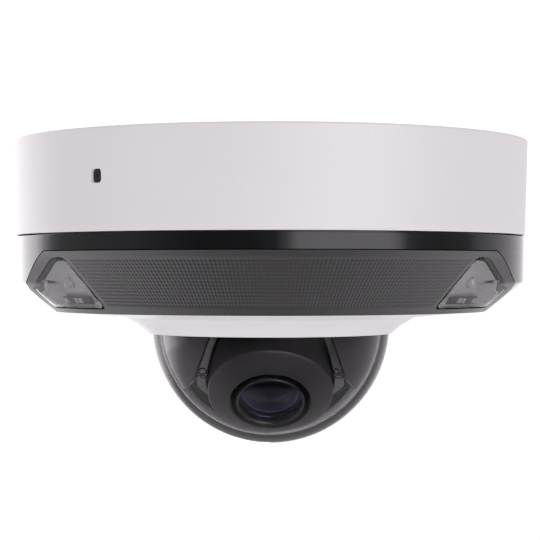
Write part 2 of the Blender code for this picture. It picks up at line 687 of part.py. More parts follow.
def make_trim_and_dome():
    foot = DOME_RADIUS + COLLAR_WIDTH
    socket = FLANGE_RADIUS + GAP
    mouth = DOME_RADIUS + GAP
    ledge = FLANGE_BOTTOM - GAP
    trim = turned("trim_ring", [(socket, TRIM_TOP), (TRIM_RADIUS, TRIM_TOP),
                                (TRIM_RADIUS, UNDERSIDE - 0.2), (foot, UNDERSIDE - 1.4),
                                (foot - 0.9, UNDERSIDE - 1.88), (foot - 1.7, UNDERSIDE - 2.35),
                                (foot - 4.6, UNDERSIDE - 4.25), (foot - 5.7, COLLAR_RIM),
                                (mouth, COLLAR_RIM), (mouth, ledge), (socket, ledge)],
                  WHITE_PLASTIC, steps=40)
    clamp = turned("dome_clamp", [(DOME_INNER + 0.6, CLAMP_TOP), (TRIM_RADIUS, CLAMP_TOP),
                                  (TRIM_RADIUS, CLAMP_BOTTOM),
                                  (DOME_INNER + 0.6, CLAMP_BOTTOM)], STEEL, steps=40)
    seal_bottom = FLANGE_TOP + GAP
    seal_top = CLAMP_BOTTOM - GAP
    turned("dome_seal", [(DOME_INNER + 0.6, seal_top), (FLANGE_RADIUS - 0.2, seal_top),
                         (FLANGE_RADIUS - 0.2, seal_bottom),
                         (DOME_INNER + 0.6, seal_bottom)], RUBBER, steps=INNER_STEPS)
    for number, angle in enumerate(trim_screw_angles(), 1):
        head = around(TRIM_SCREW_CIRCLE, angle, SHELF_TOP + GAP)
        screw(f"trim_screw_{number}", head, (0, 0, -1), 0.9,
              head.z - TRIM_TOP + 0.8, 1.7, 1.3)
    holes = [around(TRIM_SCREW_CIRCLE, angle, CLAMP_TOP + 1) for angle in trim_screw_angles()]
    cut(clamp, *[bore(start, (0, 0, -1), 0.9 + GAP, CLAMP_THICKNESS + 2) for start in holes])
    cut(trim, *[bore(start, (0, 0, -1), 0.9 + GAP, CLAMP_THICKNESS + GAP + 2.1)
                for start in holes])
    arc_steps = 6
    outside = []
    inside = []
    for step in range(arc_steps + 1):
        angle = math.pi / 2 * step / arc_steps
        outside.append((DOME_RADIUS * math.cos(angle), DOME_CENTRE - DOME_RADIUS * math.sin(angle)))
        inside.append((DOME_INNER * math.cos(angle), DOME_CENTRE - DOME_INNER * math.sin(angle)))
    outside[-1] = (0.0, DOME_CENTRE - DOME_RADIUS)
    inside[-1] = (0.0, DOME_CENTRE - DOME_INNER)
    profile = list(reversed(inside)) + [(DOME_INNER, FLANGE_TOP), (FLANGE_RADIUS, FLANGE_TOP),
                                        (FLANGE_RADIUS, FLANGE_BOTTOM),
                                        (DOME_RADIUS, FLANGE_BOTTOM)] + outside
    turned("dome_bubble", profile, CLEAR, steps=INNER_STEPS)


# ---------------------------------------------------------------- chassis and yoke

def make_chassis():
    chassis = turned("chassis_plate", [(PAN_HOLE_RADIUS, CHASSIS_TOP),
                                       (CHASSIS_RADIUS, CHASSIS_TOP),
                                       (CHASSIS_RADIUS, CHASSIS_BOTTOM),
                                       (PAN_HOLE_RADIUS, CHASSIS_BOTTOM)], STEEL,
                     steps=INNER_STEPS)
    cut(chassis, *[bore(around(POST_CIRCLE, angle, CHASSIS_TOP + 1), (0, 0, -1), 1.4 + GAP,
                        CHASSIS_THICKNESS + 2) for angle in post_angles()])
    for number, angle in enumerate(post_angles(), 1):
        screw(f"chassis_screw_{number}", around(POST_CIRCLE, angle, CHASSIS_BOTTOM - GAP),
              (0, 0, 1), 1.4, 8.0, 2.6, 1.7)
    turned("friction_ring", [(PAN_HOLE_RADIUS + 0.3, FRICTION_TOP),
                             (RETAINER_RADIUS, FRICTION_TOP),
                             (RETAINER_RADIUS, FRICTION_TOP - FRICTION_RING),
                             (PAN_HOLE_RADIUS + 0.3, FRICTION_TOP - FRICTION_RING)],
           RUBBER, steps=INNER_STEPS)


def make_yoke(pan):
    """Everything here turns about Z: its mesh is measured from the tilt axis."""
    up = -DOME_CENTRE
    spigot_top = CHASSIS_TOP + GAP
    base = turned("pan_base", [(PAN_INNER, spigot_top + up), (SPIGOT_RADIUS, spigot_top + up),
                               (SPIGOT_RADIUS, PAN_TOP + up), (RETAINER_RADIUS, PAN_TOP + up),
                               (RETAINER_RADIUS, PAN_TOP - 1.6 + up),
                               (CHEEK_RADIUS, PAN_TOP - 1.6 + up),
                               (CHEEK_RADIUS, PAN_BOTTOM + up), (PAN_INNER, PAN_BOTTOM + up)],
                  BLACK_PLASTIC, pan, INNER_STEPS)
    retainer_bottom = spigot_top + GAP
    retainer = turned("pan_retainer",
                      [(PAN_INNER, retainer_bottom + RETAINER_THICKNESS + up),
                       (RETAINER_RADIUS, retainer_bottom + RETAINER_THICKNESS + up),
                       (RETAINER_RADIUS, retainer_bottom + up),
                       (PAN_INNER, retainer_bottom + up)], STEEL, pan, INNER_STEPS)
    screw_head = retainer_bottom + RETAINER_THICKNESS + GAP
    cheeks = {side: make_cheek(side, word, pan) for side, word in ((-1, "left"), (1, "right"))}
    places = [(side, side * 90.0 + lean * YOKE_SCREW_ANGLE)
              for side in (-1, 1) for lean in (-1, 1)]
    length = screw_head - CHEEK_TOP + 3.5
    for number, (side, angle) in enumerate(places, 1):
        head = around(YOKE_SCREW_CIRCLE, angle, screw_head + up)
        screw(f"yoke_screw_{number}", head, (0, 0, -1), 0.8, length, 1.5, 1.2, pan)
    for piece, wanted in ((base, (-1, 1)), (retainer, (-1, 1)), (cheeks[-1], (-1,)),
                          (cheeks[1], (1,))):
        cut(piece, *[bore(around(YOKE_SCREW_CIRCLE, angle, screw_head + up + 1), (0, 0, -1),
                          0.8 + GAP, length + 1.6) for side, angle in places if side in wanted])


def make_cheek(side, word, pan):
    """A side shell: a round-nosed cylinder cut by a leaning plane, hollowed for the head."""
    top = CHEEK_TOP - DOME_CENTRE
    nose = 5
    sweep = math.asin(CHEEK_TIP / CHEEK_RADIUS)
    profile = [(0.0, top), (CHEEK_RADIUS, top)]
    for step in range(nose):
        angle = sweep * step / (nose - 1)
        profile.append((CHEEK_RADIUS * math.cos(angle), -CHEEK_RADIUS * math.sin(angle)))
    profile.append((0.0, -CHEEK_TIP))
    cheek = turned(f"cheek_{word}", profile, SATIN_BLACK, pan, INNER_STEPS)
    reach = CHEEK_RADIUS + 5.0
    front_edge = CHEEK_INNER - CHEEK_LEAN * (CHEEK_TIP - 2.0)
    lean = Matrix.Rotation(-side * math.atan(CHEEK_LEAN), 4, 'Y')
    leaning = Matrix.Translation((side * front_edge, 0, -2.0)) @ lean
    cut(cheek, block_shape((min(0, -side * 60), -reach, -60), (max(0, -side * 60), reach, 60),
                           leaning))
    skirt_edge = CHEEK_INNER - 0.1
    cut(cheek, block_shape((-skirt_edge, -reach, -0.1), (skirt_edge, reach, 40)))
    hollow = CHEEK_RADIUS - CHEEK_LIP
    half = 5
    bowl = []
    first = math.acos(CHEEK_INNER / hollow)
    for step in range(half + 1):
        angle = first + (math.pi / 2 - first) * step / half
        bowl.append((hollow * math.sin(angle), hollow * math.cos(angle)))
    bowl = [(0.0, bowl[0][1])] + bowl[:-1] + [(hollow, 0.0)]
    bowl += [(radius, -height) for radius, height in reversed(bowl[:-1])]
    cut(cheek, turned_shape(bowl, 24, Matrix.Rotation(math.pi / 2, 4, 'Y')))
    seat = CHEEK_INNER + 2.2
    outside = CHEEK_RADIUS + 2.0
    head_bore = PIVOT_HEAD_RADIUS + GAP
    shank_bore = PIVOT_RADIUS + GAP
    bore_end = CHEEK_INNER - 2.0 - outside
    stepped = [(0, 0), (head_bore, 0), (head_bore, seat - outside), (shank_bore, seat - outside),
               (shank_bore, bore_end), (0, bore_end)]
    cut(cheek, turned_shape(stepped, SMALL_STEPS, aimed((side * outside, 0, 0), (-side, 0, 0))))
    return cheek


# ---------------------------------------------------------------- head and lens

def make_head(tilt):
    """The head is built with its lens pointing down; the tilt empty leans it forward."""
    inner = HEAD_RADIUS - HEAD_WALL
    lip = FACE_RADIUS + GAP
    ring = turned("head_ring", [(inner, -HEAD_BACK), (HEAD_RADIUS, -HEAD_BACK),
                                (HEAD_RADIUS, -HEAD_FRONT + 1.0),
                                (HEAD_RADIUS - 1.0, -HEAD_FRONT), (lip, -HEAD_FRONT),
                                (lip, -HEAD_FRONT + 1.4), (inner, -HEAD_FRONT + 1.4)],
                  BLACK_PLASTIC, tilt, INNER_STEPS)
    seat = HEAD_RADIUS - 4.2
    join(ring, *[bore((side * seat, 0, 0), (side, 0, 0), 3.6, 3.9) for side in (-1, 1)])
    cut(ring, *[bore((side * (seat + 0.7), 0, 0), (side, 0, 0), PIVOT_RADIUS + GAP, 6.0)
                for side in (-1, 1)])
    for side, word in ((-1, "left"), (1, "right")):
        seat_of_head = CHEEK_INNER + 2.2 + GAP
        screw(f"tilt_pivot_{word}", (side * seat_of_head, 0, 0), (-side, 0, 0), PIVOT_RADIUS,
              seat_of_head - seat - 1.2, PIVOT_HEAD_RADIUS, 1.5, tilt)
    rear_top = -HEAD_BACK + GAP
    rear = [(0, rear_top + REAR_DEPTH), (HEAD_RADIUS - REAR_TAPER - 0.4, rear_top + REAR_DEPTH),
            (HEAD_RADIUS - 0.4, rear_top + REAR_DEPTH - REAR_TAPER), (HEAD_RADIUS - 0.4, rear_top),
            (inner - 0.4, rear_top), (inner - 0.4, rear_top + REAR_DEPTH - REAR_TAPER),
            (inner - REAR_TAPER, rear_top + REAR_DEPTH - 1.5), (0, rear_top + REAR_DEPTH - 1.5)]
    back = turned("head_rear_cover", rear, BLACK_PLASTIC, tilt, INNER_STEPS)
    cut(back, bore((0, 0, rear_top + REAR_DEPTH + 1), (0, 0, -1), 3.0, 4.0))


def face_profile():
    """Domed face around the lens, its skirt, and the flange that the head ring keeps in."""
    ball = math.hypot(FACE_RADIUS, FACE_CREASE)
    inside = FACE_RADIUS - FACE_WALL
    points = []
    steps = 3
    for step in range(steps + 1):
        radius = LENS_HOLE_RADIUS + (FACE_RADIUS - LENS_HOLE_RADIUS) * step / steps
        points.append((radius, -math.sqrt(ball ** 2 - radius ** 2)))
    flange = FACE_RADIUS + 0.7
    points += [(FACE_RADIUS, -HEAD_FRONT + 2.0), (FACE_RADIUS, -9.5), (flange, -9.5),
               (flange, -8.0), (inside, -8.0), (inside, -FACE_CREASE + 1.6),
               (LENS_HOLE_RADIUS, -math.sqrt(ball ** 2 - LENS_HOLE_RADIUS ** 2) + 1.6)]
    return points


def make_lens(roll):
    turned("face_cap", face_profile(), SATIN_BLACK, roll, INNER_STEPS)
    thread = BARREL_RADIUS + GAP
    holder_radius = thread + 1.6
    flange_front = HOLDER_BACK + 4.1
    flange_back = HOLDER_BACK + 2.6
    plate = FACE_RADIUS - FACE_WALL - GAP
    holder = turned("lens_holder", [(BARREL_BORE, -HOLDER_BACK),
                                    (holder_radius, -HOLDER_BACK),
                                    (holder_radius, -flange_back), (plate, -flange_back),
                                    (plate, -flange_front), (holder_radius, -flange_front),
                                    (holder_radius, -HOLDER_FRONT), (thread, -HOLDER_FRONT),
                                    (thread, -HOLDER_BACK - 1.2),
                                    (BARREL_BORE, -HOLDER_BACK - 1.2)],
                    BLACK_PLASTIC, roll, 24)
    ring_back = LENS_FRONT - 2.4
    barrel_back = HOLDER_BACK + 1.2 + GAP
    turned("lens_barrel", [(BARREL_BORE, -barrel_back), (BARREL_RADIUS, -barrel_back),
                           (BARREL_RADIUS, -ring_back + GAP), (BARREL_BORE, -ring_back + GAP)],
           BLACK_PLASTIC, roll, 24)
    seat = LENS_RADIUS - 0.95
    mouth = LENS_RADIUS - 1.45
    turned("lens_ring", [(seat, -ring_back), (LENS_RADIUS, -ring_back),
                         (LENS_RADIUS, -LENS_FRONT + 0.3), (LENS_RADIUS - 0.3, -LENS_FRONT),
                         (mouth + 0.2, -LENS_FRONT), (mouth, -LENS_FRONT + 0.6),
                         (seat, -LENS_FRONT + 0.6)], SATIN_BLACK, roll, 28)
    rim = seat - GAP
    turned("front_glass", [(0, -ring_back - 0.1), (rim, -ring_back - 0.1),
                           (rim, -ring_back - 1.0), (mouth - GAP, -ring_back - 1.3),
                           (4.0, -ring_back - 1.75), (2.0, -ring_back - 1.95),
                           (0, -ring_back - 2.0)], COATED_GLASS, roll, 24)
    lens = BARREL_BORE - GAP
    turned("inner_lens", [(0, -15.0), (3.0, -15.2), (lens, -15.9), (lens, -16.6),
                          (3.0, -17.3), (0, -17.5)], COATED_GLASS, roll, 24)
    half = SENSOR_BOARD / 2
    block("sensor_board", (-half, -half, GAP - HOLDER_BACK), (half, half, GAP - HOLDER_BACK + 1.2),
          BOARD_GREEN, roll)


def add_empty(name, place, parent=None, lean=0.0):
    empty = bpy.data.objects.new(name, None)
    empty.location = [value * MM for value in place]
    empty.rotation_euler = (math.radians(lean), 0.0, 0.0)
    empty.parent = parent
    bpy.context.scene.collection.objects.link(empty)
    return empty


for old in list(bpy.data.objects):
    bpy.data.objects.remove(old, do_unlink=True)

make_mounting_plate()
make_base_housing()
make_cable_entry()
make_reset_button()
make_electronics()
make_front_cover()
make_front_panel()
make_infrared_units()
make_trim_and_dome()
make_chassis()
pan_axis = add_empty("pan_axis", (0, 0, DOME_CENTRE))
make_yoke(pan_axis)
tilt_axis = add_empty("tilt_axis", (0, 0, 0), pan_axis, LENS_ANGLE - 90.0)
make_head(tilt_axis)
roll_axis = add_empty("roll_axis", (0, 0, 0), tilt_axis)
make_lens(roll_axis)
bpy.context.view_layer.update()
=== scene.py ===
"""Looks of a compact ceiling dome camera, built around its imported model.

Every piece is worked out in millimetres in the model's own frame: the ceiling is z = 0, +Z is
up and the camera looks towards -Y. Azimuth is counted from the front towards +X, in degrees.
"""

import json

import bmesh
import bpy
import numpy as np
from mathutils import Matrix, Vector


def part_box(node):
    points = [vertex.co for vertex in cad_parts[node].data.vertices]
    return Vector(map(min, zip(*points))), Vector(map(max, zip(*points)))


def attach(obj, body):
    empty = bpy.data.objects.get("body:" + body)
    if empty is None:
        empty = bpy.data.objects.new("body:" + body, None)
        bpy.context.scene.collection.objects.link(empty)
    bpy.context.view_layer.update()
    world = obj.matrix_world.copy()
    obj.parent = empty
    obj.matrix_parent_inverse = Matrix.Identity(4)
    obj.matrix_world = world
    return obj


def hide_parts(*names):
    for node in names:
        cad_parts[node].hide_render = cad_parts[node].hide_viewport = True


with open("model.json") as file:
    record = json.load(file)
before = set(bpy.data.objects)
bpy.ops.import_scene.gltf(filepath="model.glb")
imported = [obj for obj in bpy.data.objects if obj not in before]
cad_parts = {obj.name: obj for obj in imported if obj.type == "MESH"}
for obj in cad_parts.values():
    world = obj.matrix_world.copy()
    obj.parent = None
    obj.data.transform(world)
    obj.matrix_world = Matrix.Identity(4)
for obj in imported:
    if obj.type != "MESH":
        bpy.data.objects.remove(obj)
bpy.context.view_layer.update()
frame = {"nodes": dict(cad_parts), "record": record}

MM = 0.001
MIDDLE = np.array([0.0, 0.0, -0.038])


def extent(node):
    """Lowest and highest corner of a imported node, as two arrays in millimetres."""
    low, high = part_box(node)
    return np.array(low) / MM, np.array(high) / MM


# ---------------------------------------------------------------- view
# A long lens looks level along +Y, a little below the ceiling, at the middle of the object.

eye = bpy.data.cameras.new("view")
eye.lens = 109.46
eye.sensor_width = 36.0
eye.shift_x = -0.0006
eye.shift_y = 0.0041
viewer = bpy.data.objects.new("view", eye)
viewer.location = (0.0, -0.39387, -0.03067)
viewer.rotation_euler = (np.pi / 2, 0.0, 0.0)
bpy.context.scene.collection.objects.link(viewer)
bpy.context.scene.camera = viewer
bpy.context.scene.view_settings.view_transform = 'Standard'


# ---------------------------------------------------------------- studio
# A pale floor well below the object, and a surround that depends on what a ray has met: a
# white wall behind the object, even light for scattered rays, a room of soft boxes for
# mirrored ones, dimmer under the dome, and near dark straight through clear plastic.

FLOOR_HEIGHT = -1.4
FLOOR_REACH = 2.8
BACKGROUND_LEVEL, AMBIENT_LEVEL = 1.05, 0.60
THROUGH_GLASS_LEVEL, IN_WALL_LEVEL = 0.03, 0.03
IN_WALL_CROSSINGS, IN_WALL_SPREAD = 2.0, 1.2
UNDER_DOME_CROSSINGS, UNDER_DOME_LOSS = 3.5, 0.55
SURROUND = [(-180, 2.7), (-150, 2.8), (-127, 3.0), (-119, 1.7), (-112, 0.7), (-104, 0.45),
            (-62, 0.40), (-45, 0.22), (-30, 0.10), (-8, 0.12), (2, 0.25), (7, 0.9), (12, 2.4),
            (20, 2.6), (52, 2.6), (57, 1.8), (62, 0.5), (70, 0.3), (78, 0.25), (96, 0.3),
            (104, 0.7), (127, 0.95), (180, 1.4)]
SURROUND_SCALE = 3.0
LIGHT_TONE = (1.0, 0.965, 1.0)
LOW_SURROUND = [(-180, 0.5), (-125, 0.8), (-90, 1.2), (-65, 0.5), (-30, 0.1), (30, 0.1), (65, 0.3),
                (90, 0.8), (125, 0.7), (180, 0.5)]


def link(tree, source, output, target, entry):
    """Joins one node's output to another's input."""
    tree.links.new(source.outputs[output], target.inputs[entry])


def arithmetic(tree, operation, first, second=None):
    """One Math node; an input is a number or a (node, output) pair."""
    node = tree.nodes.new("ShaderNodeMath")
    node.operation = operation
    for entry, value in enumerate((first, second)):
        if isinstance(value, tuple):
            link(tree, value[0], value[1], node, entry)
        elif value is not None:
            node.inputs[entry].default_value = value
    return node


def ramp(tree, source, output, stops):
    """A colour ramp through (place, value) stops; a value is a grey level or a colour."""
    node = tree.nodes.new("ShaderNodeValToRGB")
    link(tree, source, output, node, "Fac")
    band = node.color_ramp
    while len(band.elements) < len(stops):
        band.elements.new(0.5)
    for element, (place, value) in zip(band.elements, stops):
        element.position = place
        colour = value if isinstance(value, tuple) else (value, value, value)
        element.color = (*colour, 1.0)
    return node


def toned(stops, scale=1.0):
    """(azimuth, level) stops as shares of a full turn and colours in the light's tone."""
    return [((azimuth + 180.0) / 360.0, tuple(level / scale * np.array(LIGHT_TONE)))
            for azimuth, level in stops]


surround = bpy.data.worlds.new("studio")
surround.use_nodes = True
tree = surround.node_tree
tree.nodes.clear()
direction = tree.nodes.new("ShaderNodeTexCoord")
split = tree.nodes.new("ShaderNodeSeparateXYZ")
link(tree, direction, "Generated", split, 0)
forward = arithmetic(tree, 'MULTIPLY', (split, "Y"), -1.0)
turn = arithmetic(tree, 'ARCTAN2', (split, "X"), (forward, 0))
turn_share = arithmetic(tree, 'MULTIPLY_ADD', (turn, 0), 0.5 / np.pi)
turn_share.inputs[2].default_value = 0.5
around_box = ramp(tree, turn_share, 0, toned(SURROUND, SURROUND_SCALE))
level_share = ramp(tree, split, "Z", [(0.0, 1.0), (0.35, 1.0), (0.6, 0.0)])
low_share = ramp(tree, arithmetic(tree, 'MULTIPLY', (split, "Z"), -1.0), 0,
                 [(0.0, 1.0), (0.2, 1.0), (0.4, 0.0)])
box_share = arithmetic(tree, 'MULTIPLY', (level_share, 0), (low_share, 0))


def backdrop(level, tone=None):
    """One even background at a strength, or the grey of a ramp at that strength. All but the
    one behind the object share the light's slight tone."""
    node = tree.nodes.new("ShaderNodeBackground")
    node.inputs["Color"].default_value = (*LIGHT_TONE, 1.0)
    node.inputs["Strength"].default_value = level
    if tone:
        link(tree, tone, "Color", node, "Color")
    return node


def mixed(share, output, first, second):
    """A mix of two shaders by a share."""
    node = tree.nodes.new("ShaderNodeMixShader")
    link(tree, share, output, node, 0)
    link(tree, first, 0, node, 1)
    link(tree, second, 0, node, 2)
    return node


side_box = ramp(tree, turn_share, 0, toned(LOW_SURROUND))
path = tree.nodes.new("ShaderNodeLightPath")
mirrored = arithmetic(tree, 'MINIMUM', (path, "Glossy Depth"), 1.0)
scattered = arithmetic(tree, 'MINIMUM', (path, "Diffuse Depth"), 1.0)
in_wall = arithmetic(tree, 'COMPARE', (path, "Transmission Depth"), IN_WALL_CROSSINGS)
in_wall.inputs[2].default_value = IN_WALL_SPREAD
glass = backdrop(THROUGH_GLASS_LEVEL)
under_dome = arithmetic(tree, 'GREATER_THAN', (path, "Transmission Depth"),
                        UNDER_DOME_CROSSINGS)
under_dome_share = arithmetic(tree, 'MULTIPLY', (under_dome, 0), UNDER_DOME_LOSS)
open_room = mixed(box_share, 0, backdrop(1.0, side_box), backdrop(SURROUND_SCALE, around_box))
room = mixed(under_dome_share, 0, open_room, glass)
sharp = mixed(mirrored, 0, glass, mixed(in_wall, 0, room, backdrop(IN_WALL_LEVEL)))
soft = mixed(scattered, 0, sharp, backdrop(AMBIENT_LEVEL))
white_wall = backdrop(BACKGROUND_LEVEL)
white_wall.inputs["Color"].default_value = (1.0, 1.0, 1.0, 1.0)
everything = mixed(path, "Is Camera Ray", soft, white_wall)
sky = tree.nodes.new("ShaderNodeOutputWorld")
link(tree, everything, 0, sky, 0)
bpy.context.scene.world = surround


def soft_box(name, azimuth, elevation, distance, size, power):
    """A square area light on a sphere round the object, facing it; reflections don't show it."""
    lamp = bpy.data.lights.new(name, 'AREA')
    lamp.size = size
    lamp.energy = power
    lamp.color = LIGHT_TONE
    holder = bpy.data.objects.new(name, lamp)
    turned, raised = np.radians(azimuth), np.radians(elevation)
    holder.location = distance * np.array([np.sin(turned) * np.cos(raised),
                                           -np.cos(turned) * np.cos(raised), np.sin(raised)])
    holder.rotation_euler = (np.pi / 2 - raised, 0.0, turned)
    holder.visible_glossy = False
    bpy.context.scene.collection.objects.link(holder)


soft_box("key_light", 18.0, 6.0, 2.2, 1.6, 13.5)
soft_box("side_light", -118.0, 6.0, 2.2, 1.6, 7.0)


def finish_of(name, colour, roughness, metallic=0.0, grain=0.0, grain_size=0.6, wear=0.04,
              coat=0.0, sheen=0.0, clear=0.0, ior=1.5):
    """A moulded or worked surface: its colour drifts slightly and its gloss and relief vary
    with fine noise in Object coordinates. grain is the bump in millimetres."""
    material = bpy.data.materials.new(name)
    material.use_nodes = True
    tree = material.node_tree
    shader = tree.nodes["Principled BSDF"]
    shader.inputs["Metallic"].default_value = metallic
    shader.inputs["IOR"].default_value = ior
    shader.inputs["Coat Weight"].default_value = coat
    shader.inputs["Coat Roughness"].default_value = 0.06
    shader.inputs["Sheen Weight"].default_value = sheen
    shader.inputs["Transmission Weight"].default_value = clear
    place = tree.nodes.new("ShaderNodeTexCoord")
    drift = tree.nodes.new("ShaderNodeTexNoise")
    drift.inputs["Scale"].default_value = 45.0
    drift.inputs["Detail"].default_value = 4.0
    link(tree, place, "Object", drift, "Vector")
    shade = ramp(tree, drift, 0,
                 [(0.3, tuple(channel * (1.0 - wear) for channel in colour)),
                  (0.7, tuple(min(1.0, channel * (1.0 + wear)) for channel in colour))])
    link(tree, shade, "Color", shader, "Base Color")
    fine = tree.nodes.new("ShaderNodeTexNoise")
    fine.inputs["Scale"].default_value = 1.0 / (grain_size * MM)
    fine.inputs["Detail"].default_value = 3.0
    link(tree, place, "Object", fine, "Vector")
    gloss = arithmetic(tree, 'MULTIPLY_ADD', (fine, 0), roughness * 0.3)
    gloss.inputs[2].default_value = roughness * 0.85
    link(tree, gloss, 0, shader, "Roughness")
    if grain:
        relief = tree.nodes.new("ShaderNodeBump")
        relief.inputs["Strength"].default_value = 1.0
        relief.inputs["Distance"].default_value = grain * MM
        link(tree, fine, 0, relief, "Height")
        link(tree, relief, "Normal", shader, "Normal")
    return material


def surface(name, grids, finish, body, replaced=(), closed=False, wall=0.0, edge=0.0,
            sharp=38.0):
    """One mesh from one or more (rows, columns, 3) arrays of points in millimetres.

    Each grid is skinned with quads and equal points are merged. An open skin is turned to
    face away from the middle of the object, and a wall gives it its thickness inwards. edge
    is the width of the rounding along its corners, and sharp the angle that stays a crease.
    """
    points, quads, first = [], [], 0
    for grid in grids:
        rows, columns = grid.shape[:2]
        index = np.arange(rows * columns).reshape(rows, columns) + first
        quads.append(np.stack([index[:-1, :-1], index[:-1, 1:], index[1:, 1:], index[1:, :-1]],
                              axis=-1).reshape(-1, 4))
        points.append(grid.reshape(-1, 3) * MM)
        first += rows * columns
    mesh = bpy.data.meshes.new(name)
    mesh.from_pydata(np.vstack(points).tolist(), [], np.vstack(quads).tolist())
    shape = bmesh.new()
    shape.from_mesh(mesh)
    bmesh.ops.remove_doubles(shape, verts=shape.verts, dist=2e-6)
    bmesh.ops.dissolve_degenerate(shape, edges=shape.edges, dist=1e-7)
    bmesh.ops.recalc_face_normals(shape, faces=shape.faces)
    shape.to_mesh(mesh)
    shape.free()
    if not closed:
        facing = np.empty((2, len(mesh.polygons) * 3))
        mesh.polygons.foreach_get("normal", facing[0])
        mesh.polygons.foreach_get("center", facing[1])
        outward = facing[1].reshape(-1, 3) - MIDDLE
        if (facing[0].reshape(-1, 3) * outward).sum() < 0.0:
            mesh.flip_normals()
    mesh.shade_smooth()
    mesh.set_sharp_from_angle(angle=np.radians(sharp))
    mesh.materials.append(finish)
    piece = bpy.data.objects.new(name, mesh)
    bpy.context.scene.collection.objects.link(piece)
    if wall:
        thick = piece.modifiers.new("wall", 'SOLIDIFY')
        thick.thickness = wall * MM
        thick.offset = -1.0
        thick.use_even_offset = True
    if edge:
        rounding = piece.modifiers.new("edge", 'BEVEL')
        rounding.width = edge * MM
        rounding.segments = 2
        rounding.limit_method = 'ANGLE'
        rounding.angle_limit = np.radians(65.0)
        rounding.harden_normals = False
    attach(piece, body)
    if replaced:
        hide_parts(*replaced)
    return piece


FLOOR_WHITE = finish_of("floor_paper", (0.96, 0.96, 0.96), 0.9, wear=0.0)
floor_shader = FLOOR_WHITE.node_tree.nodes["Principled BSDF"]
floor_shader.inputs["Emission Color"].default_value = (1.0, 1.0, 1.0, 1.0)
floor_shader.inputs["Emission Strength"].default_value = 0.42
floor_mesh = bpy.data.meshes.new("floor")
bearing = np.linspace(0.0, 2.0 * np.pi, 97)[:-1]
edge_points = np.stack([np.cos(bearing), np.sin(bearing), 0.0 * bearing], axis=-1)
edge_points = edge_points * FLOOR_REACH + np.array([0.0, 0.0, FLOOR_HEIGHT])
floor_mesh.from_pydata(edge_points.tolist(), [], [list(range(len(bearing)))])
floor_mesh.materials.append(FLOOR_WHITE)
floor = bpy.data.objects.new("floor", floor_mesh)
bpy.context.scene.collection.objects.link(floor)
floor.visible_glossy = False
floor.visible_transmission = False


# ---------------------------------------------------------------- housing
# The white housing is one moulding of satin polycarbonate: a drafted side wall with a thin
# rim against the ceiling, a deck under it, and a ledge for the cover screws. A small
# rounded sound port is sunk into the wall at the front left, a screw hole at the back.

HOUSING_RADIUS = extent("base_housing")[1][0]
SEAM_HEIGHT = -22.06
HOUSING_WALL = 3.2
HOUSING_DRAFT = 0.69
DECK_TOP, DECK_BOTTOM = -3.1, -5.2
LEDGE_TOP, LEDGE_BOTTOM, LEDGE_INNER = -15.2, -17.0, 51.4
CABLE_Y, CABLE_HOLE = 36.0, 9.0
PORT_AZIMUTH, PORT_HEIGHT = -37.2, -10.34
PORT_SIZE = (2.6, 2.9)
PORT_CORNER = 0.75
PORT_DEPTH = 1.8
SCREW_HEIGHT, SCREW_HOLE, SCREW_DEPTH = -1.4, 0.9, 1.6
DECK_SHARES = np.linspace(0.0, 1.0, 5)[:, None, None]
PORCELAIN_WHITE = finish_of("housing_white", (0.765, 0.758, 0.768), 0.42, grain=0.004,
                            grain_size=0.35, wear=0.012)


def eased(profile, radius, steps=5):
    """Rounds the corners of a closed outline: a quadratic curve runs from a point on the
    edge before each corner to one on the edge after it, with the corner as its control."""
    corners = np.asarray(profile, float)
    share = np.linspace(0.0, 1.0, steps)[:, None, None]

    def pulled(neighbour):
        edge = neighbour - corners
        length = np.linalg.norm(edge, axis=1, keepdims=True)
        return corners + edge / length * np.minimum(radius, 0.45 * length)

    start, end = pulled(np.roll(corners, 1, axis=0)), pulled(np.roll(corners, -1, axis=0))
    curve = (1 - share) ** 2 * start + 2 * share * (1 - share) * corners + share ** 2 * end
    return curve.transpose(1, 0, 2).reshape(-1, 2)


def ring_points(radius, azimuth, height):
    """Points at a radius and azimuth (degrees) around Z, at a height; arrays broadcast."""
    radius, azimuth, height = np.broadcast_arrays(radius, azimuth, height)
    turn = np.radians(azimuth)
    return np.stack([radius * np.sin(turn), -radius * np.cos(turn), height], axis=-1)


def looped(values):
    """Repeats the first row at the end, so that an outline closes."""
    return np.concatenate([values, values[:1]])


def step_in(distance, width=0.12):
    """1 inside an outline, 0 outside, with a smooth edge; distance is signed, in mm."""
    share = np.clip(0.5 - distance / width, 0.0, 1.0)
    return share * share * (3.0 - 2.0 * share)


